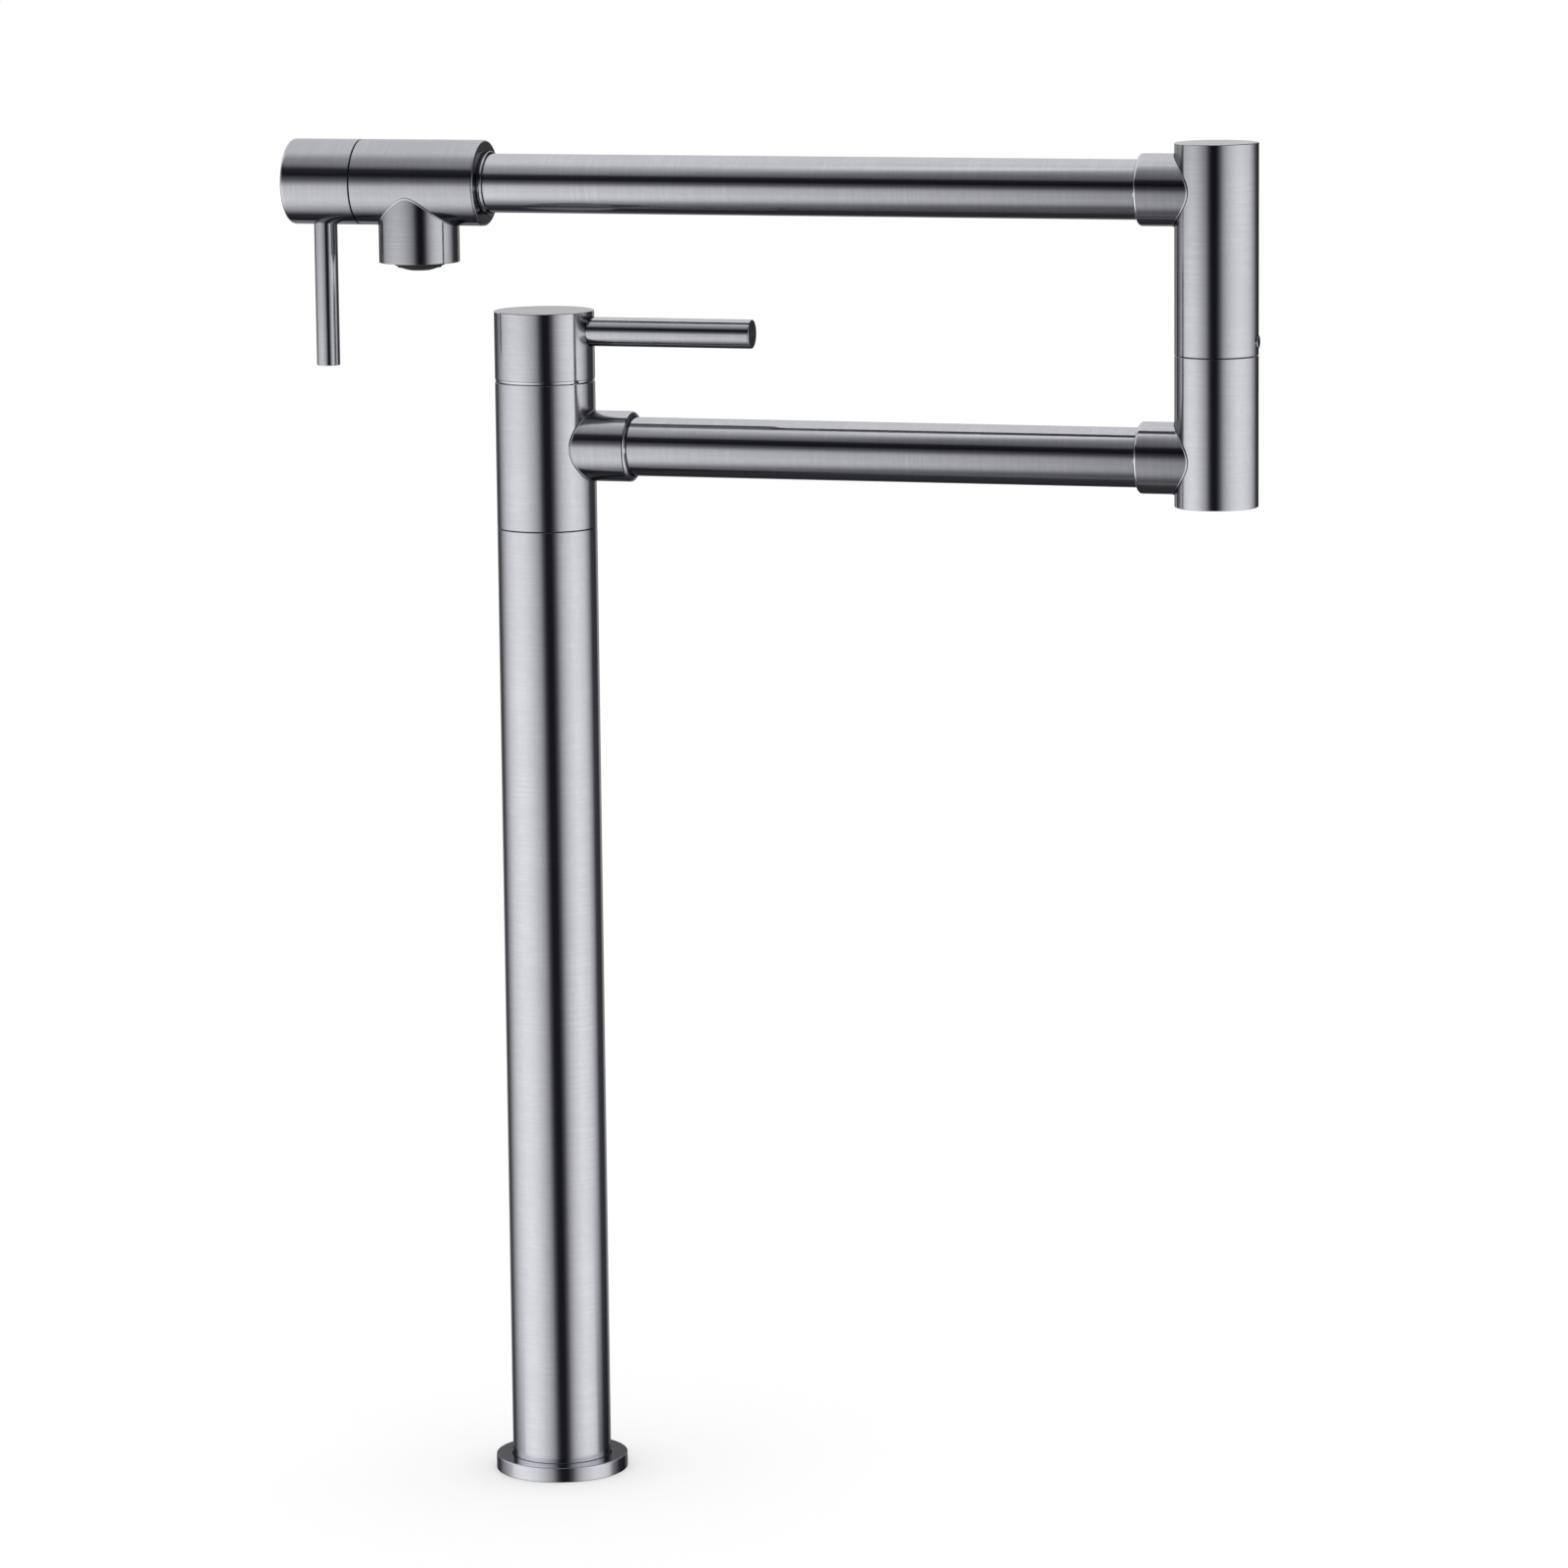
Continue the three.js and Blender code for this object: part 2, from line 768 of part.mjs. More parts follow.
function cartridgeSeal() {
  const outer = housingBore - snug;
  return ring(outer - cartridgeSealWidth, outer, seatGap, seatGap + cartridgeSealThickness);
}

// The cartridge's sleeve, with two side windows level with the moving disc.
function cartridgeHousing() {
  const shoulder = stemShoulder + seatGap;
  const profile = [
    [housingBore, seatGap],
    [cartridgeRadius, seatGap],
    [cartridgeRadius, cartridgeLength],
    [stemHole, cartridgeLength],
    [stemHole, shoulder],
    [housingBore, shoulder],
  ];
  const windows = bar(windowDiameter / 2, -cartridgeDiameter, cartridgeDiameter, smallSides);
  return turned(profile, innerSides).subtract(raised(alongY(windows), windowHeight));
}

// The outline of a disc's port: a piece of a ring, centred on an angle.
function portOutline(middle, outer) {
  const from = middle - discPortAngle / 2;
  const to = middle + discPortAngle / 2;
  const port = new THREE.Shape();
  port.absarc(0, 0, outer, from, to);
  port.absarc(0, 0, discPortInner, to, from, true);
  port.closePath();
  return port;
}

// The fixed disc, with two ports opposite each other.
function fixedDisc() {
  const top = fixedDiscFoot + discThickness;
  const disc = bar(discRadius, fixedDiscFoot, top, innerSides);
  const port = pushed(portOutline(0, discPortOuter), 0, 2 * top, roundSteps);
  return disc.subtract(port.add(turnedTo(port, 180)));
}

// The moving disc, notched from its rim. While the valve is shut its notches lie a quarter turn
// from the fixed disc's ports, and over them when it is open. A slot on top takes the stem.
function movingDisc() {
  const top = movingDiscFoot + discThickness;
  const disc = bar(discRadius, movingDiscFoot, top, innerSides);
  const notch = pushed(portOutline(Math.PI / 2, 2 * discRadius), 0, 2 * top, roundSteps);
  const slotWidth = stemTangWidth + 2 * snug;
  const slot = tang(slotWidth, cartridgeDiameter, stemFoot - stemTangDepth - seatGap, 2 * top);
  return disc.subtract(notch.add(turnedTo(notch, 180))).subtract(slot);
}

// A flat key along X between two heights.
function tang(width, length, foot, top) {
  const box = new THREE.BoxGeometry(length, width, top - foot);
  return raised(solidOf(box), (foot + top) / 2);
}

// The stem: a tang that drives the moving disc, a broad foot, and a splined end for the handle.
function valveStem() {
  const shaft = turned(
    [
      [0, stemFoot],
      [stemFootDiameter / 2, stemFoot],
      [stemFootDiameter / 2, stemShoulder],
      [stemDiameter / 2, stemShoulder],
      [stemDiameter / 2, stemTop - splineLength],
      [0, stemTop - splineLength],
    ],
    smallSides,
  );
  const teeth = [];
  for (let i = 0; i < 2 * splineTeeth; i++) {
    const radius = stemDiameter / 2 - (i % 2) * splineDepth;
    const angle = (Math.PI * i) / splineTeeth;
    teeth.push(new THREE.Vector2(radius * Math.cos(angle), radius * Math.sin(angle)));
  }
  const spline = pushed(new THREE.Shape(teeth), stemTop - splineLength - splineDepth, stemTop);
  const key = tang(stemTangWidth, stemFootDiameter - 1, stemFoot - stemTangDepth, stemShoulder);
  return shaft.add(spline).add(key);
}

// The hexagon nut that holds the cartridge down.
function bonnetNut() {
  const nut = pushed(polygon(cartridgeDiameter + 2 * bonnetLip, 6), bonnetFoot, bonnetTop);
  return nut.subtract(bar(stemHole, 0, 2 * bonnetTop, smallSides));
}

// ---------------------------------------------------------------- handles

const cavityTop = bonnetTop + bonnetHeadroom;
const adaptorBore = adaptorRadius + snug;
const capBoreTop = (handle) => handle.capTop - capTopWall;
const handleScrewAt = (handle) => (cavityTop + capBoreTop(handle)) / 2;
const leverAt = (handle) => handle.capTop - handle.leverBelowTop;
const leverShoulder = (handle) => handle.capRadius - leverSocketDepth;
const leverStud = (handle) => handle.leverRadius * leverStudShare;

// The cap: open below over the bonnet, bored for the adaptor, with a socket for the lever.
function handleCap(handle) {
  const { capRadius, capFoot, capTop, capRound } = handle;
  const shell = turned([
    [capRadius - capSkirtWall, capFoot],
    [capRadius - edgeBreak, capFoot],
    [capRadius, capFoot + edgeBreak],
    ...roundedCorner(capRadius, capTop, capRound),
    [0, capTop],
    [0, capBoreTop(handle)],
    [adaptorBore, capBoreTop(handle)],
    [adaptorBore, cavityTop],
    [capRadius - capSkirtWall, cavityTop],
  ]);
  const stud = bar(leverStud(handle) + snug, 0, capRadius, smallSides);
  const floor = leverShoulder(handle) - seatGap;
  const socket = bar(handle.leverRadius + snug, floor, 2 * capRadius);
  const hole = bar(handleScrewDiameter / 2 + snug, 0, 2 * capRadius, smallSides);
  return shell
    .subtract(raised(alongX(stud.add(socket)), leverAt(handle)))
    .subtract(raised(turnedTo(alongX(hole), handle.screwDirection), handleScrewAt(handle)));
}

// The bar lever, with a stud that screws into the cap's side.
function barLever(handle) {
  const { leverRadius, leverReach } = handle;
  const foot = adaptorBore + seatGap;
  const stud = turned([
    [0, foot],
    [leverStud(handle), foot],
    [leverStud(handle), leverShoulder(handle)],
    [leverRadius, leverShoulder(handle)],
    [leverRadius, leverReach - leverTipChamfer],
    [leverRadius - leverTipChamfer, leverReach],
    [0, leverReach],
  ]);
  return raised(alongX(stud), leverAt(handle));
}

// The set screw that grips the adaptor from the side.
function handleScrew(handle) {
  const radius = handleScrewDiameter / 2;
  const foot = adaptorBore + seatGap;
  const head = handle.capRadius - handleScrewRecess;
  const blank = turned([
    [0, foot],
    [radius - edgeBreak, foot],
    [radius, foot + edgeBreak],
    [radius, head],
    [0, head],
  ], smallSides);
  const screw = blank.subtract(hexSocket(head));
  return raised(turnedTo(alongX(screw), handle.screwDirection), handleScrewAt(handle));
}

// The splined adaptor between the stem and the cap.
function stemAdaptor(handle) {
  const foot = bonnetTop + seatGap;
  const top = capBoreTop(handle) - seatGap;
  const profile = [
    [stemHole, foot],
    [adaptorRadius, foot],
    [adaptorRadius, top],
    [0, top],
    [0, stemTop + seatGap],
    [stemHole, stemTop + seatGap],
  ];
  return turned(profile, smallSides);
}

// All of a valve above its seat, each mesh with the valve's name in front.
function valve(name, handle) {
  const group = new THREE.Group();
  group.add(
    piece(`${name}_cartridge_seal`, sealRubber(), cartridgeSeal()),
    piece(`${name}_cartridge_housing`, turnedBrass(), cartridgeHousing()),
    piece(`${name}_fixed_disc`, discCeramic(), fixedDisc()),
    piece(`${name}_moving_disc`, discCeramic(), movingDisc()),
    piece(`${name}_stem`, turnedBrass(), valveStem()),
    piece(`${name}_bonnet_nut`, turnedBrass(), bonnetNut()),
    piece(`${name}_stem_adaptor`, turnedBrass(), stemAdaptor(handle)),
    piece(`${name}_handle_cap`, brushedSteel(), handleCap(handle)),
    piece(`${name}_lever`, brushedSteel(), barLever(handle)),
    piece(`${name}_handle_screw`, polishedSteel(), handleScrew(handle)),
  );
  return group;
}

// ---------------------------------------------------------------- assembly

const column = new THREE.Group();
column.add(
  piece("base_flange", brushedSteel(), baseFlange()),
  piece("base_gasket", sealRubber(), baseGasket()),
  piece("base_insert", turnedBrass(), baseInsert()),
  piece("riser_tube", brushedSteel(), riserTube()),
  piece("supply_tube", polishedSteel(), supplyTube()),
  piece("swivel_core", turnedBrass(), swivelCore()),
  piece("core_o_ring_lower", sealRubber(), oRing(journalRadius, lowerCoreSeal)),
  piece("core_o_ring_upper", sealRubber(), oRing(journalRadius, upperCoreSeal)),
  piece("swivel_thrust_washer", slipPlastic(), thrustWasher(journalRadius, columnRadius, riserHeight)),
  piece("swivel_retaining_nut", turnedBrass(), retainingNut()),
  piece("swivel_body", brushedSteel(), swivelBody()),
  piece("swivel_top_ring", polishedSteel(), topRing()),
);

const mainValve = valve("main", mainHandle);
mainValve.position.z = mainSeat;

const lowerTubeEnd = lowerArmReach - seatIn(elbowRadius);
const lowerOuterCollar = turnedTo(armCollar(elbowRadius, outerCollarLength), 180);
const lowerArm = new THREE.Group();
lowerArm.position.z = lowerArmHeight;
lowerArm.add(
  piece("lower_inner_collar", brushedSteel(), armCollar(columnRadius, innerCollarLength)),
  piece("lower_arm_tube", brushedSteel(), armTube(seatIn(columnRadius), lowerTubeEnd)),
  piece("lower_outer_collar", brushedSteel(), lowerOuterCollar.translate([lowerArmReach, 0, 0])),
);

const elbow = new THREE.Group();
elbow.position.x = lowerArmReach;
elbow.add(
  piece("lower_elbow_post", brushedSteel(), lowerElbowPost()),
  piece("elbow_spindle", turnedBrass(), elbowSpindle()),
  piece("elbow_o_ring_lower", sealRubber(), oRing(spindleRadius, lowerElbowSeal)),
  piece("elbow_o_ring_upper", sealRubber(), oRing(spindleRadius, upperElbowSeal)),
  piece("elbow_thrust_washer", slipPlastic(), thrustWasher(spindleRadius, elbowRadius, lowerElbowTop)),
);

const spout = new THREE.Group();
spout.position.x = spoutReach;
spout.add(
  piece("spout_nozzle", brushedSteel(), spoutNozzle()),
  piece("aerator_washer", sealRubber(), aeratorWasher()),
  piece("aerator_housing", slipPlastic(), aeratorHousing()),
  piece("aerator_screen", slipPlastic(), aeratorScreen()),
);

// The outlet valve points along the arm, so its lever, which lies along its own +X, hangs down.
const outletValve = valve("outlet", outletHandle);
outletValve.position.x = outletSeat;
outletValve.rotation.y = Math.PI / 2;

const upperTubeEnd = tubeInOutlet - seatGap;
const upperArm = new THREE.Group();
upperArm.position.z = upperArmHeight;
upperArm.add(
  piece("upper_elbow_collar", brushedSteel(), armCollar(elbowRadius, outerCollarLength)),
  piece("upper_arm_tube", brushedSteel(), armTube(seatIn(elbowRadius), upperTubeEnd)),
  piece("outlet_tube_ring", polishedSteel(), tubeRing()),
  piece("outlet_body", brushedSteel(), outletBody()),
  spout,
  outletValve,
);

// The upper side of the elbow and all that it carries, folded back over the lower arm.
const upperSide = new THREE.Group();
upperSide.position.x = lowerArmReach;
upperSide.rotation.z = Math.PI;
upperSide.add(
  piece("upper_elbow_post", brushedSteel(), upperElbowPost()),
  piece("elbow_lock_screw", polishedSteel(), lockScrew()),
  upperArm,
);

const potFiller = new THREE.Group();
potFiller.add(column, mainValve, lowerArm, elbow, upperSide);

export default potFiller;
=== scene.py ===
"""Finished pieces, materials and studio of a deck mounted pot filler in brushed steel.

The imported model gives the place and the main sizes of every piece. Here each shell that shows is
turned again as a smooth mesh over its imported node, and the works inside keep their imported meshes
and get their materials. Metres, +Z up, the origin under the middle of the base flange.
"""

import json
import math

import bmesh
import bpy
from bpy.props import FloatProperty, FloatVectorProperty, IntProperty, PointerProperty
from mathutils import Matrix, Vector

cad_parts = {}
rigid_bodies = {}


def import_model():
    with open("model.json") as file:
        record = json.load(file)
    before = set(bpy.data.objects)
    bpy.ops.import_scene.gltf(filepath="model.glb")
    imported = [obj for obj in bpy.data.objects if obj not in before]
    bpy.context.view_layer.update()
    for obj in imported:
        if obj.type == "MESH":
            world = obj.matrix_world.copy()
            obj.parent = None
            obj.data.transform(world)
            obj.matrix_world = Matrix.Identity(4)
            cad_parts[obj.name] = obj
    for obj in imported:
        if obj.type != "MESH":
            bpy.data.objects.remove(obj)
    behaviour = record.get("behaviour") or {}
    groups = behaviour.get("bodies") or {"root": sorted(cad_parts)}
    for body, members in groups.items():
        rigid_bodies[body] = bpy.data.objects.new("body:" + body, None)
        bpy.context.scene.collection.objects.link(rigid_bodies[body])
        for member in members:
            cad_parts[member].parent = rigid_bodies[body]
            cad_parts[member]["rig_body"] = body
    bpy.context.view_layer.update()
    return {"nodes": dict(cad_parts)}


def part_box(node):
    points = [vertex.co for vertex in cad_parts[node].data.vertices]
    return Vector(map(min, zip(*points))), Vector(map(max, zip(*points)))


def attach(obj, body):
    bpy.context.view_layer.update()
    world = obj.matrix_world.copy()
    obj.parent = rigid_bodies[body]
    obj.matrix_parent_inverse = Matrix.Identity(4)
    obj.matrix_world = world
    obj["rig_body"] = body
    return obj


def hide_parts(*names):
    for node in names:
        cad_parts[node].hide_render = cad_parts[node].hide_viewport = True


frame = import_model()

bl_info = {
    "name": "Pot filler finish",
    "version": (1, 0, 0),
    "blender": (4, 5, 0),
    "location": "3D View > Sidebar > Pot filler",
    "description": "Builds the finished pieces, materials and studio of a deck mounted pot filler",
    "category": "Object",
}

X, Y, Z = 0, 1, 2

# ---------------------------------------------------------------- what a user may change


def length_setting(name, description, default, precision=5):
    """A length in metres, shown with so many places."""
    return FloatProperty(
        name=name, description=description, default=default, unit="LENGTH", precision=precision
    )


def share_setting(name, description, default, low=0.0, high=1.0):
    """A share of something, held between two values."""
    return FloatProperty(
        name=name, description=description, default=default, min=low, max=high, subtype="FACTOR"
    )


def angle_setting(name, description, degrees):
    """An angle."""
    return FloatProperty(
        name=name, description=description, default=math.radians(degrees), subtype="ANGLE"
    )


def colour_setting(name, description, default):
    """A colour of three parts."""
    return FloatVectorProperty(
        name=name,
        description=description,
        default=default,
        subtype="COLOR",
        size=3,
        min=0.0,
        max=1.0,
    )


class PotFillerShape(bpy.types.PropertyGroup):
    """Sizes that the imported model's boxes don't give."""

    round_sides: IntProperty(
        name="Sides of a round",
        description="How many flat sides stand for one turn of a shell",
        default=160,
        min=24,
        max=512,
    )
    edge_steps: IntProperty(
        name="Steps of an edge",
        description="How many steps a rounded edge is made of",
        default=5,
        min=1,
        max=16,
    )
    fit: length_setting("Fit", "Clearance round a piece that sits still in another", 0.00025)
    running_fit: length_setting(
        "Running fit", "Clearance round a piece that turns, and between stacked faces", 0.0003
    )
    edge_break: length_setting("Edge break", "How far a turned edge is rounded back", 0.0003)
    seam_edge: length_setting(
        "Seam edge", "How far the edges at a hairline seam are rounded back", 0.00012
    )
    flange_round: length_setting("Flange round", "Rounding of the base flange's top edge", 0.0004)
    foot_groove: length_setting(
        "Foot groove",
        "Rounding of the flange's inner edge, which leaves a fine groove at the riser",
        0.0004,
    )
    gasket_width: length_setting(
        "Gasket width", "Width of the rubber ring under the flange", 0.0026
    )
    column_wall: length_setting("Column wall", "Wall of the riser tube", 0.0015)
    sleeve_wall: length_setting("Sleeve wall", "Wall of the swivel body round its journal", 0.0049)
    ring_width: length_setting(
        "Ring width", "Width of the polished ring under the main handle", 0.0032
    )
    ring_stand: length_setting(
        "Ring stand", "How far the polished ring's rim stands out beyond its packed mesh", 0.0005
    )
    ring_seam: length_setting(
        "Ring seam", "Groove left below the polished ring, and a quarter as much above it", 0.0004
    )
    ring_lean: length_setting(
        "Ring lean", "How far the polished ring's rim leans in at its foot", 0.00012
    )
    ring_edge: length_setting(
        "Ring edge", "How far the polished ring's edges are rounded back", 0.00005
    )
    arm_wall: length_setting("Arm wall", "Wall of the arm tubes", 0.0012)
    arm_seat_depth: length_setting("Arm seat depth", "How deep an arm tube sits in a post", 0.0024)
    collar_wall: length_setting(
        "Collar wall", "Wall of the collars over the ends of the arm tubes", 0.002
    )
    seam_bead: length_setting(
        "Seam bead", "Width of the fine brazed bead along a coped end", 0.0006
    )
    bead_stand: length_setting(
        "Bead stand", "How far the brazed bead stands off its piece", 0.00018
    )
    collar_round: length_setting(
        "Collar round", "How far the shoulder over a collar's sloped end is rounded back", 0.0008
    )
    collar_end_face: length_setting(
        "Collar end face", "Flat ring that a collar's slope leaves round the tube", 0.0005
    )
    collar_slope: share_setting(
        "Collar slope",
        "Length of a collar's sloped end as a share of its height",
        0.4,
        low=0.1,
        high=2.0,
    )
    post_end_wall: length_setting(
        "Post end wall", "Thickness of the closed ends of the elbow posts", 0.0058
    )
    post_shelf: length_setting(
        "Post shelf", "Width of the shelf that the elbow spindle stands on", 0.0014
    )
    outlet_chamfer: length_setting(
        "Outlet chamfer", "Chamfer of the outlet body at the tube's end", 0.0009
    )
    tube_ring_width: length_setting(
        "Tube ring width", "Width of the raised ring on the tube at the outlet body", 0.0016
    )
    tube_ring_round: length_setting(
        "Tube ring round", "How far the raised ring's free edge is rounded back", 0.0013
    )
    tube_ring_step: length_setting(
        "Tube ring step",
        "How far the fine step beside the raised ring stands off the tube",
        0.00012,
    )
    outlet_socket_depth: length_setting(
        "Outlet socket depth", "How deep the arm tube goes into the outlet body", 0.0096
    )
    outlet_passage: length_setting(
        "Outlet passage", "Bore of the water's way through the outlet body", 0.01
    )
    spout_passage: length_setting("Spout passage", "Bore of the water's way down the spout", 0.016)
    aerator_bore: length_setting("Aerator bore", "Bore of the aerator's housing", 0.0166)
    aerator_lip: length_setting(
        "Aerator lip", "Diameter of the aerator's rim below the spout", 0.0215
    )
    aerator_drop: length_setting(
        "Aerator drop", "How far the aerator's domed rim hangs below its packed mesh", 0.0011
    )
    aerator_mouth: length_setting(
        "Aerator mouth", "Diameter of the opening in the aerator's domed rim", 0.008
    )
    aerator_rim: length_setting(
        "Aerator rim",
        "How far the straight side of the aerator's rim shows below the spout",
        0.0003,
    )
    cap_skirt_wall: length_setting(
        "Cap skirt wall", "Wall of a handle cap round the bonnet nut", 0.0026
    )
    cap_top_wall: length_setting(
        "Cap top wall", "Thickness of a handle cap over the stem adaptor", 0.0025
    )
    cap_headroom: length_setting("Cap headroom", "Room between the bonnet nut and the cap", 0.0013)
    main_cap_round: length_setting(
        "Main cap round", "Rounding of the main handle cap's top edge", 0.00035
    )
    outlet_cap_round: length_setting(
        "Outlet cap round", "Rounding of the outlet handle cap's outer edge", 0.0014
    )
    lever_socket_depth: length_setting(
        "Lever socket depth", "How deep a bar lever goes into its cap", 0.0034
    )
    lever_stud_share: share_setting(
        "Lever stud share",
        "Diameter of a lever's stud as a share of the lever's own",
        0.55,
        low=0.1,
        high=0.9,
    )
    lever_tip: length_setting("Lever tip", "How far a lever's tip is rounded back", 0.0004)
    hex_across: length_setting(
        "Hexagon across corners", "Size of the socket in the set screws", 0.0023
    )
    hex_depth: length_setting("Hexagon depth", "Depth of the socket in the set screws", 0.002)


class PotFillerFinish(bpy.types.PropertyGroup):
    """Colours and grain of the materials."""

    steel_colour: colour_setting(
        "Brushed steel", "Colour of the brushed shells", (0.827, 0.835, 0.891)
    )
    steel_roughness: share_setting("Steel roughness", "Mean roughness of the brushed shells", 0.138)
    steel_stretch: share_setting(
        "Steel stretch", "How far the brushing stretches a reflection across its grain", 0.7
    )
    # The outlet pieces get a darker copy of the brushed steel: painted shade.
    outlet_shade_share: share_setting(
        "Cast steel shade",
        "Brightness of the cast outlet pieces as a share of the drawn tubes'",
        0.85,
    )
    grain_pitch: length_setting("Grain pitch", "Distance from one brush line to the next", 0.0009)
    grain_length: length_setting(
        "Grain length", "Length of a brush line round a cylinder", 0.02, precision=4
    )
    grain_depth: length_setting("Grain depth", "Depth of the brush lines", 0.0000015, precision=7)
    polished_colour: colour_setting(
        "Polished steel", "Colour of the bright rings and screws", (0.9, 0.91, 0.97)
    )
    brass_colour: colour_setting(
        "Turned brass", "Colour of the brass works inside", (0.78, 0.61, 0.31)
    )
    rubber_colour: colour_setting(
        "Seal rubber", "Colour of the gasket, O-rings and washers", (0.02, 0.02, 0.022)
    )
    plastic_colour: colour_setting(
        "Slip plastic", "Colour of the aerator and the thrust washers", (0.035, 0.035, 0.038)
    )
    ceramic_colour: colour_setting("Disc ceramic", "Colour of the valve discs", (0.8, 0.78, 0.73))


class PotFillerStudio(bpy.types.PropertyGroup):
    """Camera, floor and light."""

    target: FloatVectorProperty(
        name="Target",
        description="Point in the middle of the picture",
        default=(0.096108, -0.010837, 0.274008),
        subtype="TRANSLATION",
        size=3,
    )
    distance: length_setting("Distance", "From the target to the camera", 2.446244, precision=4)
    azimuth: angle_setting(
        "Azimuth", "Turn of the camera to the right of the object's front", 16.58
    )
    elevation: angle_setting(
        "Elevation", "Height of the camera above the level through the target", 9.18
    )
    roll: angle_setting("Roll", "Turn of the camera about its own line of sight", -0.59)
    lens: FloatProperty(
        name="Lens",
        description="Focal length in millimetres, on a sensor 36 mm wide",
        default=148.97,
    )
    floor_radius: length_setting("Floor radius", "Radius of the round pale floor", 0.8, precision=2)
    floor_colour: colour_setting("Floor", "Colour of the floor", (0.8, 0.8, 0.8))
    floor_lift: share_setting(
        "Floor lift", "Light of the floor's own that brings it up to the white background", 0.24
    )
    tent_radius: length_setting(
        "Tent radius", "Radius of the light tent that the metal reflects", 0.95, precision=2
    )


# ---------------------------------------------------------------- turned meshes

# Two corners of an outline nearer than this, in metres, are one.
SAME_PLACE = 1e-7
# Which facets count as a flat end or as a round wall, by the parts of their normals along Z and
# outwards, and how near the axis no wall is looked for, in metres.
END_ALONG = 0.9999
WALL_ALONG = 0.01
WALL_OUTWARDS = 0.995
NEAR_AXIS = 1e-5


def corner(radius, height, size=0.0, coped=False):
    """A corner of a turned outline: where it is, how far it is rounded back, and whether it
    follows the saddle at a coped end."""
    return radius, height, size, coped


def rounded(outline, steps, closed):
    """An outline with its corners rounded, as rows of radius, height, wear and coped. The wear mark is
    1 inside a rounded corner, where the metal paints a highlight on the edge over its wear. A row at
    the same place as the one before it is dropped, as it would leave faces without an area."""
    rows = []
    count = len(outline)
    for i, (radius, height, size, coped) in enumerate(outline):
        at_end = not closed and i in (0, count - 1)
        if size <= 0 or at_end:
            rows.append((radius, height, 0.0, coped))
            continue
        here = Vector((radius, height))
        before = Vector(outline[i - 1][:2]) - here
        after = Vector(outline[(i + 1) % count][:2]) - here
        start = here + before.normalized() * min(size, before.length / 2)
        end = here + after.normalized() * min(size, after.length / 2)
        for step in range(steps + 1):
            t = step / steps
            point = start * (1 - t) ** 2 + here * (2 * t * (1 - t)) + end * t**2
            # Inside a rounded corner the mark is 1: the metal paints a highlight there, over the
            # edge's wear.
            wear_and_highlight = 1.0 if 0 < step < steps else 0.0
            rows.append((point.x, point.y, wear_and_highlight, coped))
    return [row for i, row in enumerate(rows) if math.dist(row[:2], rows[i - 1][:2]) > SAME_PLACE]


def mesh_from(built, name):
    """Makes a mesh of a bmesh, which is freed."""
    mesh = bpy.data.meshes.new(name)
    built.to_mesh(mesh)
    built.free()
    return mesh


def put_in_scene(name, data):
    """A new object in the scene, with the given mesh or camera."""
    made = bpy.data.objects.new(name, data)
    bpy.context.scene.collection.objects.link(made)
    return made


def turned_mesh(name, outline, shape, saddle=0.0):
    """Turns an outline about local Z. Coped corners follow a saddle of the given radius, as
    where a tube meets a round post that stands across it along local X."""
    sides = shape.round_sides
    closed = outline[0][0] > 0 or outline[-1][0] > 0
    rows = rounded(outline, shape.edge_steps, closed)
    built = bmesh.new()
    # The mark of rounded edges, which the metal paints as a highlight over their wear.
    worn_and_highlit = built.verts.layers.float.new("worn_and_highlit")
    rings = []
    for radius, height, wear_and_highlight, coped in rows:
        ring = []
        for side in range(sides if radius > 0 else 1):
            angle = 2 * math.pi * side / sides
            across = radius * math.sin(angle)
            sag = math.sqrt(saddle**2 - across**2) - saddle if coped else 0.0
            vertex = built.verts.new((radius * math.cos(angle), across, height + sag))
            vertex[worn_and_highlit] = wear_and_highlight
            ring.append(vertex)
        rings.append(ring)
    for i in range(len(rings) if closed else len(rings) - 1):
        join_rings(built, rings[i], rings[(i + 1) % len(rings)], sides)
    bmesh.ops.recalc_face_normals(built, faces=built.faces[:])
    return mesh_from(built, name)


def join_rings(built, one, other, sides):
    """Faces between two rings of corners, either of which may be a point on the axis."""
    for side in range(sides):
        after = (side + 1) % sides
        if len(one) == 1:
            built.faces.new((one[0], other[side], other[after]))
        elif len(other) == 1:
            built.faces.new((one[side], one[after], other[0]))
        else:
            built.faces.new((one[side], one[after], other[after], other[side]))


def cross_bore(shape, radius, start, end, height, towards):
    """A cutter for a round hole across a turned piece, from one distance off its axis to
    another, at a height. It points to local X turned by an angle."""
    outline = [corner(0, start), corner(radius, start), corner(radius, end), corner(0, end)]
    mesh = turned_mesh("bore", outline, shape)
    lay_down = Matrix.Rotation(math.pi / 2, 4, "Y")
    mesh.transform(Matrix.Translation((0, 0, height)) @ Matrix.Rotation(towards, 4, "Z") @ lay_down)
    return mesh


def hexagon_socket(shape, head):
    """A cutter for the socket of a set screw whose head is at a height on local Z."""
    built = bmesh.new()
    bmesh.ops.create_cone(
        built,
        cap_ends=True,
        segments=6,
        radius1=shape.hex_across / 2,
        radius2=shape.hex_across / 2,
        depth=2 * shape.hex_depth,
        matrix=Matrix.Translation((0, 0, head)),
    )
    return mesh_from(built, "hexagon")


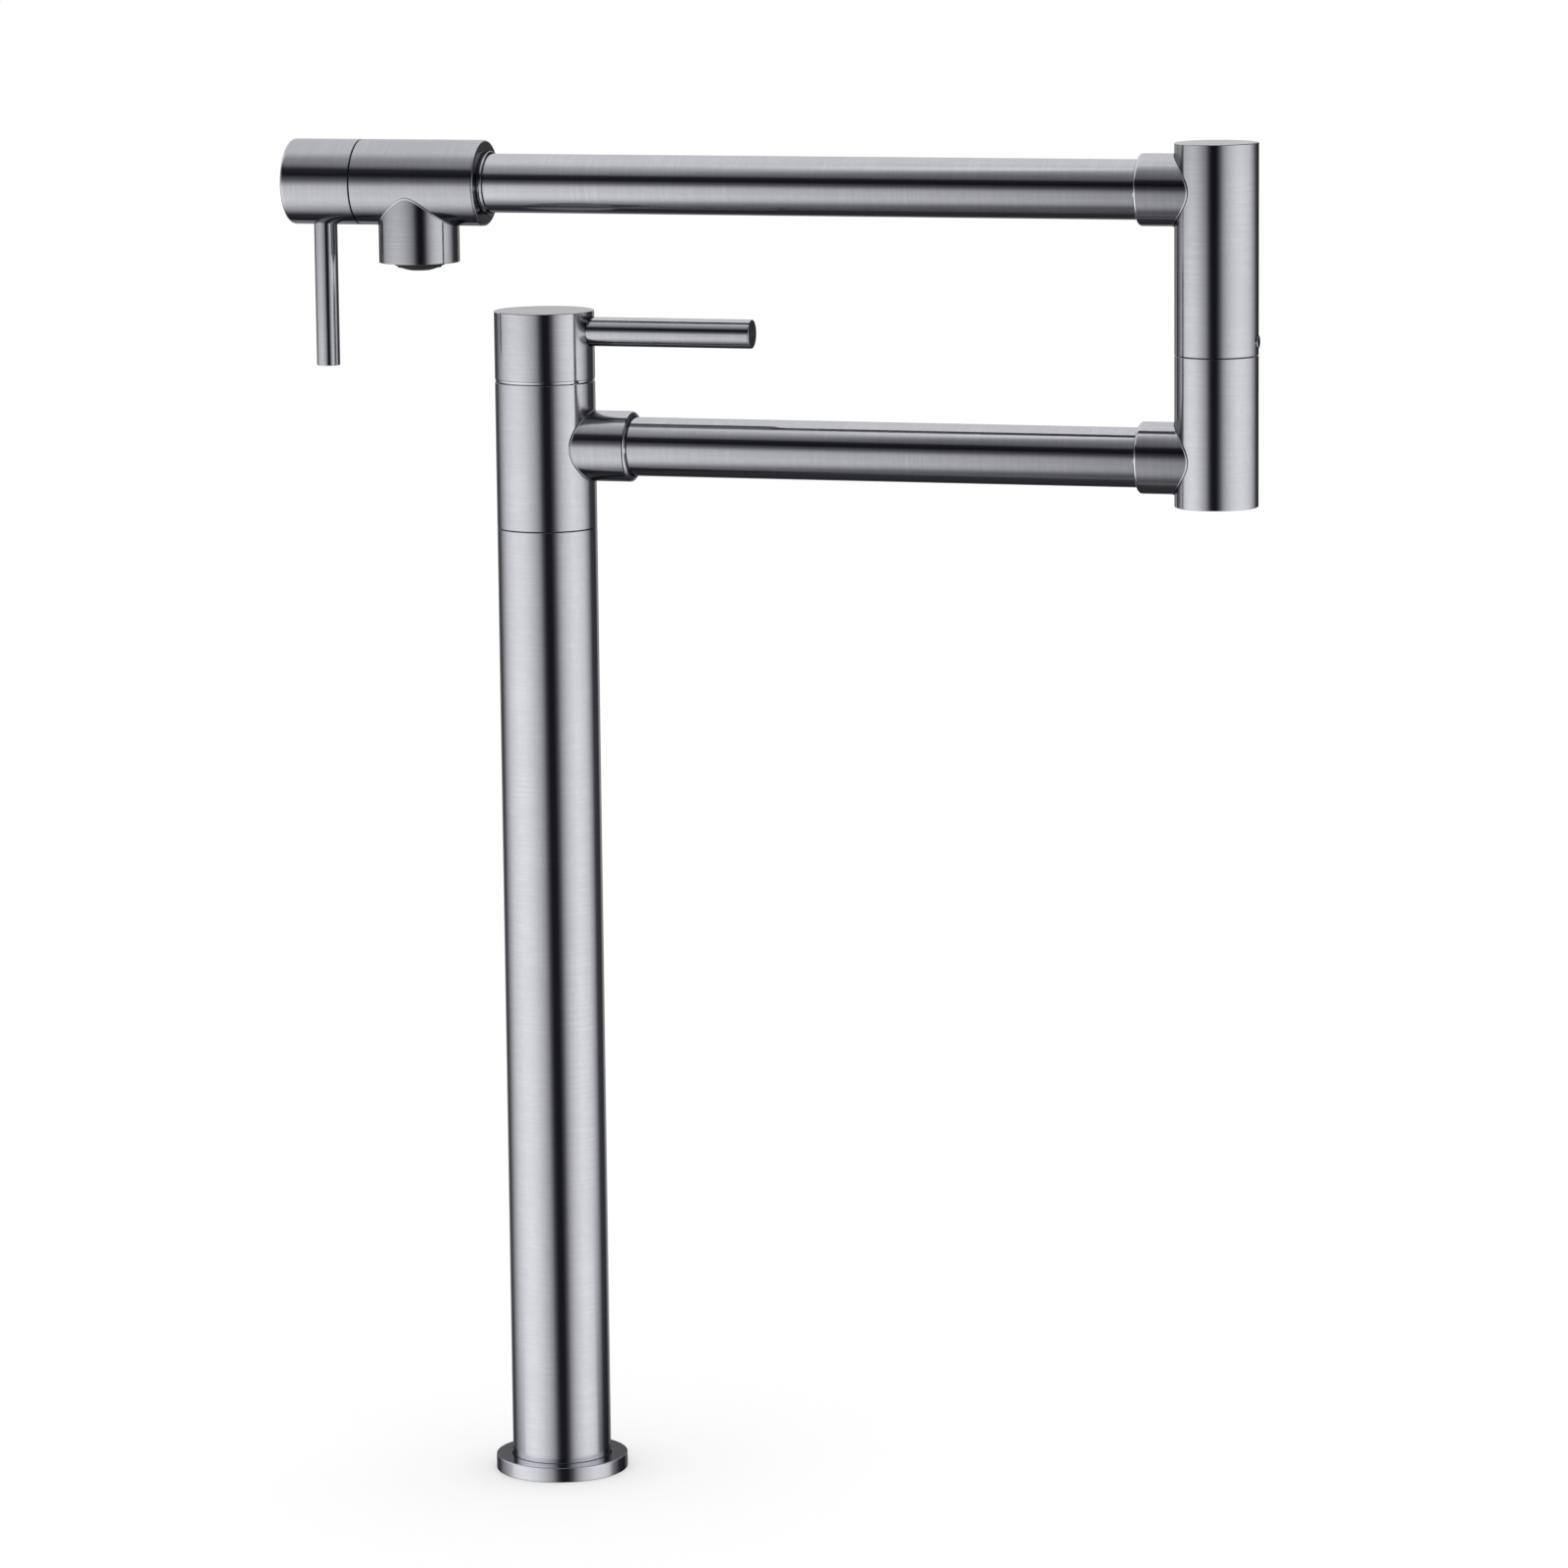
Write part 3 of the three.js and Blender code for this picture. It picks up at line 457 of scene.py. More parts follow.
def cut(mesh, cutters):
    """Takes the cutters out of a mesh and returns what is left."""
    blank = put_in_scene("blank", mesh)
    tools = []
    for cutter in cutters:
        tool = put_in_scene("cutter", cutter)
        modifier = blank.modifiers.new("cut", "BOOLEAN")
        modifier.operation = "DIFFERENCE"
        modifier.solver = "MANIFOLD"
        modifier.object = tool
        tools.append(tool)
    graph = bpy.context.evaluated_depsgraph_get()
    left = bpy.data.meshes.new_from_object(blank.evaluated_get(graph))
    if not left.polygons:
        raise RuntimeError(f"cutting {mesh.name} left nothing")
    for thing in [blank, *tools]:
        bpy.data.objects.remove(thing)
    return left


def set_true_normals(mesh, crease=math.radians(32)):
    """Smooth shading, with the exact normals of round walls and flat faces, so that a hole cut
    through a wall doesn't bend its reflections."""
    built = bmesh.new()
    built.from_mesh(mesh)
    for face in built.faces:
        face.smooth = True
    for edge in built.edges:
        if len(edge.link_faces) == 2:
            edge.smooth = edge.calc_face_angle() < crease
    built.to_mesh(mesh)
    built.free()
    normals = [Vector(corner_normal.vector) for corner_normal in mesh.corner_normals]
    for face in mesh.polygons:
        for loop in face.loop_indices:
            true = true_normal(face.normal, mesh.vertices[mesh.loops[loop].vertex_index].co)
            if true is not None:
                normals[loop] = true
    mesh.normals_split_custom_set(normals)


def true_normal(facet, point):
    """The normal at a point of a facet of a flat end or a round wall about Z, or None."""
    if abs(facet.z) > END_ALONG:
        return facet
    outwards = Vector((point.x, point.y, 0))
    if abs(facet.z) > WALL_ALONG or outwards.length < NEAR_AXIS:
        return None
    outwards.normalize()
    lean = outwards.dot(facet)
    if abs(lean) < WALL_OUTWARDS:
        return None
    return outwards if lean > 0 else -outwards


# ---------------------------------------------------------------- places

UPRIGHT = Matrix.Identity(4)
TO_RIGHT = Matrix.Rotation(math.pi / 2, 4, "Y")
TO_LEFT = Matrix.Rotation(-math.pi / 2, 4, "Y")
DOWN = Matrix.Rotation(math.pi, 4, "Y")
TO_BACK = Matrix.Rotation(-math.pi / 2, 4, "X")


def pointing(direction):
    """The way that local Z points in a direction."""
    return direction.to_3x3() @ Vector((0, 0, 1))


class Span:
    """Where a turned node lies: its radius and its two ends along local Z, which points in a
    direction from its axis's nearest place to the origin."""

    def __init__(self, node, direction=UPRIGHT):
        low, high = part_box(node)
        self.direction = direction
        way = pointing(direction)
        axis = max((X, Y, Z), key=lambda i: abs(way[i]))
        middle = (low + high) / 2
        middle[axis] = 0
        self.middle = middle
        across = Y if axis != Y else X
        self.radius = (high[across] - low[across]) / 2
        ends = sorted((low[axis] * way[axis], high[axis] * way[axis]))
        self.foot, self.top = ends

    @property
    def place(self):
        """The matrix that puts a mesh turned about local Z on this node."""
        return Matrix.Translation(self.middle) @ self.direction


def add_piece(node, mesh, place, finish):
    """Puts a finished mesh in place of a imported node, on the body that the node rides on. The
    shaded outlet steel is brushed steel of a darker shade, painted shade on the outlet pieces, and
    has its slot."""
    set_true_normals(mesh)
    mesh.materials.clear()
    mesh.materials.append(finish_of(finish))
    piece = put_in_scene(f"finished_{node}", mesh)
    piece.data.name = piece.name
    piece.matrix_world = place
    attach(piece, frame["nodes"][node]["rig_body"])
    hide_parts(node)


def turn_piece(node, outline, shape, finish, direction=UPRIGHT, saddle=0.0):
    """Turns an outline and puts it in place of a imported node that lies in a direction."""
    mesh = turned_mesh(node, outline, shape, saddle)
    add_piece(node, mesh, Span(node, direction).place, finish)


# ---------------------------------------------------------------- materials

# Scales are in noise cells a metre. Edges are where noise from 0 to 1 goes from dark to light.
# Shades are shares of a colour, and a spread is how far a roughness goes down and up. Across
# the grain is a quarter of a turn.
BROAD_PITCH = 5
BROAD_LENGTH = 1.5
FINE_SHARE = 0.86
BROAD_SHARE = 0.14
GRAIN_EDGES = (0.36, 0.64)
GRAIN_SHADES = (0.965, 1.03)
GRAIN_SPREAD = (-0.015, 0.015)
CLOUD_SCALE = 55.0
CLOUD_SHARE = 0.6
CLOUD_MOST = 0.85
CLOUD_SHADE = 0.945
CLOUD_SPREAD = (-0.01, 0.01)
MOTTLE_SCALE = 350.0
MOTTLE_SHARE = 0.4
# Rounded edges: how far they go to the lighter shade of their painted highlight, and how much rougher
# wear makes them.
WORN_HIGHLIGHT_MOST = 0.9
WORN_HIGHLIGHT_SHADE = 1.15
WORN_ROUGHER = 0.05
TOOL_MARK_LENGTH = 0.01
TOOL_MARK_EDGES = (0.3, 0.7)
TOOL_MARK_SHADES = (0.88, 1.08)
TOOL_MARK_SPREAD = (-0.08, 0.08)
STAIN_SCALE = 140.0
STAIN_EDGES = (0.45, 0.75)
STAIN_MOST = 0.5
STAIN_SHADE = 0.8
SKIN_EDGES = (0.3, 0.7)
SKIN_SHADES = (0.85, 1.15)
PATCH_SCALE = 90.0
PATCH_EDGES = (0.4, 0.7)
PATCH_MOST = 0.4
PATCH_SHADE = 1.3
PATCH_SPREAD = (-0.06, 0.06)
ACROSS_GRAIN = 0.25
POLISHED_ROUGHNESS = 0.06
POLISHED_DEPTH = 1 / 8
BRASS = {"roughness": 0.32, "pitch": 0.0005, "depth": 0.000004}
RUBBER = {"roughness": 0.7, "pitch": 0.0006, "depth": 0.00002, "specular": 0.3}
PLASTIC = {"roughness": 0.42, "pitch": 0.0005, "depth": 0.00001, "specular": 0.5}
CERAMIC = {"roughness": 0.16, "pitch": 0.0008, "depth": 0.000003, "specular": 0.6}


class Graph:
    """A material's nodes, added and joined one at a time."""

    def __init__(self, material):
        material.use_nodes = True
        self.tree = material.node_tree
        self.tree.nodes.clear()

    def add(self, kind, **settings):
        """A node of a kind, with its own settings."""
        made = self.tree.nodes.new(kind)
        for name, value in settings.items():
            setattr(made, name, value)
        return made

    def join(self, output, socket):
        """Joins an output to an input socket."""
        self.tree.links.new(output, socket)

    def feed(self, socket, value):
        """Gives an input a number or colour, or joins it to an output."""
        if isinstance(value, bpy.types.NodeSocket):
            self.join(value, socket)
        else:
            socket.default_value = value

    def math(self, operation, first, second=0.0, third=0.0):
        """The output of one sum."""
        made = self.add("ShaderNodeMath", operation=operation)
        for socket, value in zip(made.inputs, (first, second, third)):
            self.feed(socket, value)
        return made.outputs[0]

    def add_up(self, first, first_share, second, second_share):
        """Shares of two values, added up."""
        share = self.math("MULTIPLY", first, first_share)
        return self.math("ADD", share, self.math("MULTIPLY", second, second_share))

    def spread(self, value, low, high):
        """A value from 0 to 1 stretched evenly to run from low to high."""
        return self.remap(value, 0.0, 1.0, low, high, smooth=False)

    def remap(self, value, from_low, from_high, to_low=0.0, to_high=1.0, smooth=True):
        """A value remapped from one range to another, and held at its ends."""
        made = self.add("ShaderNodeMapRange")
        made.interpolation_type = "SMOOTHSTEP" if smooth else "LINEAR"
        for socket, given in zip(made.inputs, (value, from_low, from_high, to_low, to_high)):
            self.feed(socket, given)
        return made.outputs["Result"]

    def place(self):
        """The place on the object, in its own axes."""
        return self.add("ShaderNodeTexCoord").outputs["Object"]

    def parts(self, vector):
        """The three values of a vector."""
        made = self.add("ShaderNodeSeparateXYZ")
        self.join(vector, made.inputs[0])
        return made.outputs

    def noise(self, vector, scale=1.0, detail=3.0, roughness=0.55):
        """Soft noise from 0 to 1 at a vector."""
        made = self.add("ShaderNodeTexNoise")
        self.join(vector, made.inputs["Vector"])
        made.inputs["Scale"].default_value = scale
        made.inputs["Detail"].default_value = detail
        made.inputs["Roughness"].default_value = roughness
        return made.outputs["Fac"]

    def vector(self, x, y, z):
        """A vector from three values."""
        made = self.add("ShaderNodeCombineXYZ")
        for socket, value in zip(made.inputs, (x, y, z)):
            self.feed(socket, value)
        return made.outputs[0]

    def blend(self, amount, first, second):
        """A colour that goes from one to the other."""
        made = self.add("ShaderNodeMix", data_type="RGBA")
        self.feed(made.inputs["Factor"], amount)
        self.feed(made.inputs["A"], first)
        self.feed(made.inputs["B"], second)
        return made.outputs["Result"]

    def ramp(self, value, stops):
        """A brightness read off a row of (place, brightness) stops."""
        made = self.add("ShaderNodeValToRGB")
        made.color_ramp.interpolation = "LINEAR"
        elements = made.color_ramp.elements
        while len(elements) > 1:
            elements.remove(elements[-1])
        elements[0].position = stops[0][0]
        elements[0].color = (stops[0][1],) * 3 + (1.0,)
        for place, bright in stops[1:]:
            elements.new(place).color = (bright,) * 3 + (1.0,)
        self.join(value, made.inputs["Fac"])
        return made.outputs["Color"]

    def bump(self, height, distance):
        """A normal from a height between 0 and 1."""
        made = self.add("ShaderNodeBump")
        made.inputs["Strength"].default_value = 1.0
        made.inputs["Distance"].default_value = distance
        self.join(height, made.inputs["Height"])
        return made.outputs["Normal"]

    def principled(self, colour, roughness, normal, uniform):
        """Ends the material in a Principled shader, whose uniform values stay on its sockets."""
        shader = self.add("ShaderNodeBsdfPrincipled")
        for name, value in uniform.items():
            shader.inputs[name].default_value = value
        self.join(colour, shader.inputs["Base Color"])
        self.join(roughness, shader.inputs["Roughness"])
        self.join(normal, shader.inputs["Normal"])
        self.surface(shader.outputs[0])
        return shader

    def surface(self, shader):
        """Sends a shader to the material's output."""
        self.join(shader, self.add("ShaderNodeOutputMaterial").inputs["Surface"])


def shade(colour, share):
    """A colour made lighter or darker without a change of hue, with its alpha."""
    most = min(share, 1.0 / max(colour))
    return tuple(part * most for part in colour) + (1.0,)


def turning_lines(graph, pitch, length):
    """Noise in fine lines that run round local Z, and in rings on the flat ends."""
    across_x, across_y, along = graph.parts(graph.place())
    flat = graph.add("ShaderNodeVectorMath", operation="LENGTH")
    graph.join(graph.vector(across_x, across_y, 0.0), flat.inputs[0])
    run = graph.math("DIVIDE", graph.math("ADD", along, flat.outputs["Value"]), pitch)
    slow_x = graph.math("DIVIDE", across_x, length)
    slow_y = graph.math("DIVIDE", across_y, length)
    return graph.noise(graph.vector(slow_x, slow_y, run), detail=2.0, roughness=0.6)


def brushed_metal(name, colour, roughness, stretch, pitch, length, depth):
    """Metal brushed round its axis, local Z: lines of grain in colour, roughness and height, soft
    clouds of handling, and rounded edges that wear has polished, painted lighter as a highlight."""
    material = bpy.data.materials.new(name)
    graph = Graph(material)
    fine = turning_lines(graph, pitch, length)
    broad = turning_lines(graph, pitch * BROAD_PITCH, length * BROAD_LENGTH)
    place = graph.place()
    cloud = graph.noise(place, scale=CLOUD_SCALE, detail=2.0)
    mottle = graph.noise(place, scale=MOTTLE_SCALE)
    worn_and_highlit = graph.add("ShaderNodeAttribute", attribute_name="worn_and_highlit").outputs["Fac"]
    grain = graph.add_up(fine, FINE_SHARE, broad, BROAD_SHARE)
    dark, light = (shade(colour, share) for share in GRAIN_SHADES)
    body = graph.blend(graph.remap(grain, *GRAIN_EDGES), dark, light)
    patchy = graph.add_up(cloud, CLOUD_SHARE, mottle, MOTTLE_SHARE)
    clouding = graph.remap(patchy, *GRAIN_EDGES, 0.0, CLOUD_MOST)
    clouded = graph.blend(clouding, body, shade(colour, CLOUD_SHADE))
    # Rounded edges go to a lighter colour: a painted highlight over their wear.
    bright = graph.blend(graph.math("MULTIPLY", worn_and_highlit, WORN_HIGHLIGHT_MOST), clouded, shade(colour, WORN_HIGHLIGHT_SHADE))
    grainy = graph.spread(grain, *GRAIN_SPREAD)
    rough = graph.math("ADD", roughness, graph.math("ADD", grainy, graph.spread(cloud, *CLOUD_SPREAD)))
    rough = graph.math("ADD", rough, graph.math("MULTIPLY", worn_and_highlit, WORN_ROUGHER))
    turned = {"Metallic": 1.0, "Anisotropic": stretch, "Anisotropic Rotation": ACROSS_GRAIN}
    shader = graph.principled(bright, rough, graph.bump(fine, depth), turned)
    tangent = graph.add("ShaderNodeTangent", direction_type="RADIAL", axis="Z")
    graph.join(tangent.outputs[0], shader.inputs["Tangent"])
    return material


def plain_metal(name, colour, roughness, pitch, depth):
    """Turned metal of the works inside: fine tool marks all over."""
    material = bpy.data.materials.new(name)
    graph = Graph(material)
    marks = turning_lines(graph, pitch, TOOL_MARK_LENGTH)
    stain = graph.noise(graph.place(), scale=STAIN_SCALE)
    dark, light = (shade(colour, share) for share in TOOL_MARK_SHADES)
    body = graph.blend(graph.remap(marks, *TOOL_MARK_EDGES), dark, light)
    staining = graph.remap(stain, *STAIN_EDGES, 0.0, STAIN_MOST)
    stained = graph.blend(staining, body, shade(colour, STAIN_SHADE))
    rough = graph.math("ADD", roughness, graph.spread(marks, *TOOL_MARK_SPREAD))
    graph.principled(stained, rough, graph.bump(marks, depth), {"Metallic": 1.0})
    return material


def moulded(name, colour, roughness, pitch, depth, specular):
    """Rubber, plastic or ceramic: a fine skin texture with a little variation in gloss."""
    material = bpy.data.materials.new(name)
    graph = Graph(material)
    place = graph.place()
    skin = graph.noise(place, scale=1.0 / pitch, detail=4.0, roughness=0.6)
    patch = graph.noise(place, scale=PATCH_SCALE, detail=2.0)
    dark, light = (shade(colour, share) for share in SKIN_SHADES)
    body = graph.blend(graph.remap(skin, *SKIN_EDGES), dark, light)
    toning = graph.remap(patch, *PATCH_EDGES, 0.0, PATCH_MOST)
    toned = graph.blend(toning, body, shade(colour, PATCH_SHADE))
    rough = graph.math("ADD", roughness, graph.spread(patch, *PATCH_SPREAD))
    graph.principled(toned, rough, graph.bump(skin, depth), {"Specular IOR Level": specular})
    return material


def finish_of(name):
    """The material of a name, made the first time that it is asked for."""
    if name in bpy.data.materials and bpy.data.materials[name].get("finished"):
        return bpy.data.materials[name]
    finish = bpy.context.scene.pot_filler_finish
    steel = [finish.steel_roughness, finish.steel_stretch]
    grain = [finish.grain_pitch, finish.grain_length]
    depth = finish.grain_depth
    # A darker copy of the brushed steel paints the shade on the outlet pieces.
    darkened = [part * finish.outlet_shade_share for part in finish.steel_colour]
    polish = [POLISHED_ROUGHNESS, 0.0, *grain, depth * POLISHED_DEPTH]
    makers = {
        "brushed_steel": lambda: brushed_metal(name, finish.steel_colour, *steel, *grain, depth),
        "shaded_outlet_steel": lambda: brushed_metal(name, darkened, *steel, *grain, depth),
        "polished_steel": lambda: brushed_metal(name, finish.polished_colour, *polish),
        "turned_brass": lambda: plain_metal(name, finish.brass_colour, **BRASS),
        "seal_rubber": lambda: moulded(name, finish.rubber_colour, **RUBBER),
        "slip_plastic": lambda: moulded(name, finish.plastic_colour, **PLASTIC),
        "disc_ceramic": lambda: moulded(name, finish.ceramic_colour, **CERAMIC),
    }
    for old in bpy.data.materials:
        if old.name == name:
            old.name = f"packed_{name}"
    material = makers[name]()
    material["finished"] = True
    return material


# ---------------------------------------------------------------- the pieces' shapes

# Radius of the lock screw's plain point as a share of its thread's, and the share of the fit
# that is left between a coped end and its post.
LOCK_POINT = 0.68
COPED_FIT = 1 / 4


def flange_outline(shape):
    """The base flange, from its bore down and round its outside, with the gasket's groove."""
    flange = Span("base_flange")
    gasket = Span("base_gasket")
    bore = Span("riser_tube").radius + shape.fit
    groove_inner = gasket.radius - shape.gasket_width - shape.fit
    groove_outer = gasket.radius + shape.fit
    groove_top = gasket.top + shape.running_fit
    return [
        corner(bore, flange.foot),
        corner(groove_inner, flange.foot),
        corner(groove_inner, groove_top),
        corner(groove_outer, groove_top),
        corner(groove_outer, flange.foot),
        corner(flange.radius, flange.foot, shape.edge_break),
        corner(flange.radius, flange.top, shape.flange_round),
        corner(bore, flange.top, shape.foot_groove),
    ]


def tube_outline(span, wall, foot_edge, top_edge):
    """A plain tube with its outer edges rounded."""
    return [
        corner(span.radius - wall, span.foot),
        corner(span.radius, span.foot, foot_edge),
        corner(span.radius, span.top, top_edge),
        corner(span.radius - wall, span.top),
    ]


def sleeve_outline(shape):
    """The swivel body: a sleeve with the washer's recess below and the nut's space above."""
    body = Span("swivel_body")
    washer = Span("swivel_thrust_washer")
    nut = Span("swivel_retaining_nut")
    gap = shape.running_fit
    bore = body.radius - shape.sleeve_wall
    recess = washer.radius + gap
    space = nut.radius + gap
    return [
        corner(recess, body.foot),
        corner(body.radius, body.foot, shape.seam_edge),
        corner(body.radius, body.top, shape.seam_edge),
        corner(space, body.top, shape.seam_edge),
        corner(space, nut.foot - gap),
        corner(bore, nut.foot - gap),
        corner(bore, washer.top + gap),
        corner(recess, washer.top + gap),
    ]


def top_ring_outline(shape):
    """The polished ring: a flat ring on a spigot that drops into the swivel body."""
    ring = Span("swivel_top_ring")
    spigot = Span("swivel_retaining_nut").radius + shape.running_fit - shape.fit
    inner = ring.radius - shape.ring_width
    rim = ring.radius + shape.ring_stand
    flat = Span("swivel_body").top + shape.ring_seam
    top = Span("main_handle_cap").foot - shape.ring_seam / 4
    return [
        corner(inner, ring.foot),
        corner(spigot, ring.foot),
        corner(spigot, flat),
        corner(rim - shape.ring_lean, flat, shape.ring_edge),
        corner(rim, top, shape.ring_edge),
        corner(inner, top),
    ]


def arm_socket(shape, post_radius, height, towards):
    """Cutters for an arm tube's seat and water port in a post's side."""
    tube = Span("lower_arm_tube", TO_RIGHT).radius
    seat = post_radius - shape.arm_seat_depth
    port = tube - shape.arm_wall
    return [
        cross_bore(shape, tube + shape.fit, seat, 2 * post_radius, height, towards),
        cross_bore(shape, port, 0.0, post_radius, height, towards),
    ]


def coped_end(shape, bore, outer, saddle):
    """The corners of a coped end from its bore out to its wall, with the bead round its edge."""
    bead = outer + shape.bead_stand
    foot = saddle + shape.seam_bead
    return [
        corner(bore, saddle, 0.0, coped=True),
        corner(bead, saddle, shape.seam_bead / 2, coped=True),
        corner(bead, foot, shape.seam_bead / 2, coped=True),
        corner(outer, foot, 0.0, coped=True),
    ]


def collar_outline(shape, post_radius, end):
    """A collar from its coped end on a post out to its far end, which slopes to the tube."""
    bore = Span("lower_arm_tube", TO_RIGHT).radius + shape.fit
    outer = bore + shape.collar_wall
    lip = bore + shape.collar_end_face
    shoulder = end - (outer - lip) * shape.collar_slope
    saddle = post_radius + shape.fit * COPED_FIT
    return [
        *coped_end(shape, bore, outer, saddle),
        corner(outer, shoulder, shape.collar_round),
        corner(lip, end, shape.edge_break),
        corner(bore, end, shape.seam_edge),
    ]


def lower_post_outline(shape):
    """The lower elbow post: closed at its foot, bored from above, with the spindle's shelf."""
    post = Span("lower_elbow_post")
    spindle = Span("elbow_spindle")
    bore = spindle.radius + shape.running_fit
    shelf = spindle.foot - shape.running_fit
    floor = post.foot + shape.post_end_wall
    return [
        corner(0, post.foot),
        corner(post.radius, post.foot, shape.edge_break),
        corner(post.radius, post.top, shape.seam_edge),
        corner(bore, post.top, shape.seam_edge),
        corner(bore, shelf),
        corner(bore - shape.post_shelf, shelf),
        corner(bore - shape.post_shelf, floor),
        corner(0, floor),
    ]


def upper_post_outline(shape):
    """The upper elbow post: closed on top, bored from below, with the washer's recess."""
    post = Span("upper_elbow_post")
    washer = Span("elbow_thrust_washer")
    bore = Span("elbow_spindle").radius + shape.running_fit
    recess = washer.radius + shape.running_fit
    ceiling = post.top - shape.post_end_wall
    return [
        corner(0, ceiling),
        corner(bore, ceiling),
        corner(bore, washer.top + shape.running_fit),
        corner(recess, washer.top + shape.running_fit),
        corner(recess, post.foot),
        corner(post.radius, post.foot, shape.seam_edge),
        corner(post.radius, post.top, shape.edge_break),
        corner(0, post.top),
    ]


def outlet_outline(shape):
    """The outlet body, with local Z from the tube's end to the cap's end."""
    body = Span("outlet_body", TO_LEFT)
    cartridge = Span("outlet_cartridge_housing", TO_LEFT)
    tube = Span("upper_arm_tube", TO_LEFT).radius + shape.fit
    hole = cartridge.radius + shape.fit
    seat = cartridge.foot - shape.running_fit
    passage = shape.outlet_passage / 2
    socket = body.foot + shape.outlet_socket_depth
    return [
        corner(tube, body.foot, shape.seam_edge),
        corner(body.radius, body.foot, shape.outlet_chamfer),
        corner(body.radius, body.top, shape.seam_edge),
        corner(hole, body.top),
        corner(hole, seat),
        corner(passage, seat),
        corner(passage, socket),
        corner(tube, socket),
    ]


def tube_ring_outline(shape):
    """The raised ring round the arm tube, against the outlet body."""
    ring = Span("outlet_tube_ring", TO_LEFT)
    bore = Span("upper_arm_tube", TO_LEFT).radius + shape.fit
    shoulder = ring.foot + shape.tube_ring_width
    step = bore + shape.tube_ring_step
    return [
        corner(bore, ring.foot),
        corner(ring.radius, ring.foot, shape.edge_break),
        corner(ring.radius, shoulder, shape.tube_ring_round),
        corner(step, shoulder),
        corner(step, ring.top, shape.seam_edge),
        corner(bore, ring.top),
    ]


def nozzle_outline(shape):
    """The spout, with local Z down from the outlet's axis, coped to the outlet body."""
    nozzle = Span("spout_nozzle", DOWN)
    washer = Span("aerator_washer", DOWN)
    body = Span("outlet_body", TO_LEFT)
    saddle = body.radius - body.middle.z + shape.fit * COPED_FIT
    thread = washer.radius + shape.fit
    passage = shape.spout_passage / 2
    return [
        *coped_end(shape, passage, nozzle.radius, saddle),
        corner(nozzle.radius, nozzle.top, shape.edge_break),
        corner(thread, nozzle.top, shape.edge_break),
        corner(thread, washer.foot - shape.running_fit),
        corner(passage, washer.foot - shape.running_fit),
    ]


def aerator_outline(shape):
    """The aerator's housing, with its dark rim below the spout."""
    housing = Span("aerator_housing", DOWN)
    nozzle = Span("spout_nozzle", DOWN)
    bore = shape.aerator_bore / 2
    lip = shape.aerator_lip / 2
    mouth = shape.aerator_mouth / 2
    brow = nozzle.top + shape.aerator_rim
    foot = housing.top + shape.aerator_drop
    dome = []
    for step in range(1, shape.edge_steps * 2):
        radius = lip + (mouth - lip) * step / (shape.edge_steps * 2)
        fall = (lip**2 - radius**2) / (lip**2 - mouth**2)
        dome.append(corner(radius, brow + (foot - brow) * fall))
    return [
        corner(bore, housing.foot),
        corner(housing.radius, housing.foot),
        corner(housing.radius, nozzle.top - shape.running_fit),
        corner(lip, nozzle.top - shape.running_fit),
        corner(lip, brow),
        *dome,
        corner(mouth, foot),
        corner(mouth, housing.top),
        corner(bore, housing.top),
    ]


def cap_outline(shape, cap, bonnet, adaptor, top_edge, foot_edge):
    """A handle cap: open below over the bonnet nut, bored for the stem adaptor."""
    skirt = cap.radius - shape.cap_skirt_wall
    bore = adaptor.radius + shape.fit
    cavity = bonnet.top + shape.cap_headroom
    ceiling = cap.top - shape.cap_top_wall
    return [
        corner(0, ceiling),
        corner(bore, ceiling),
        corner(bore, cavity),
        corner(skirt, cavity),
        corner(skirt, cap.foot),
        corner(cap.radius, cap.foot, foot_edge),
        corner(cap.radius, cap.top, top_edge),
        corner(0, cap.top),
    ]


def lever_outline(shape, lever, cap_radius):
    """A bar lever with its stud, from the stud's foot to the tip."""
    stud = lever.radius * shape.lever_stud_share
    shoulder = cap_radius - shape.lever_socket_depth
    return [
        corner(0, lever.foot),
        corner(stud, lever.foot, shape.edge_break),
        corner(stud, shoulder),
        corner(lever.radius, shoulder, shape.edge_break),
        corner(lever.radius, lever.top, shape.lever_tip),
        corner(0, lever.top),
    ]


def screw_outline(shape, screw):
    """A set screw without its socket, from its point to its head."""
    return [
        corner(0, screw.foot),
        corner(screw.radius, screw.foot, shape.edge_break),
        corner(screw.radius, screw.top, shape.seam_edge),
        corner(0, screw.top),
    ]


def lock_screw_outline(shape, screw, bore):
    """The elbow's lock screw: a plain point, then the thread, to its head."""
    point = screw.radius * LOCK_POINT
    return [
        corner(0, screw.foot),
        corner(point, screw.foot),
        corner(point, bore),
        corner(screw.radius, bore),
        corner(screw.radius, screw.top, shape.edge_break),
        corner(0, screw.top),
    ]


# ---------------------------------------------------------------- operators


class Step:
    """What the operators of the pieces share: each builds its pieces with the scene's shape."""

    def execute(self, context):
        self.build(context.scene.pot_filler_shape)
        return {"FINISHED"}


class POTFILLER_OT_base_flange(Step, bpy.types.Operator):
    """Turns the base flange"""

    bl_idname = "pot_filler.base_flange"
    bl_label = "Base flange"

    def build(self, shape):
        turn_piece("base_flange", flange_outline(shape), shape, "brushed_steel")


class POTFILLER_OT_riser(Step, bpy.types.Operator):
    """Draws the riser tube"""

    bl_idname = "pot_filler.riser"
    bl_label = "Riser tube"

    def build(self, shape):
        outline = tube_outline(Span("riser_tube"), shape.column_wall, 0.0, shape.seam_edge)
        turn_piece("riser_tube", outline, shape, "brushed_steel")


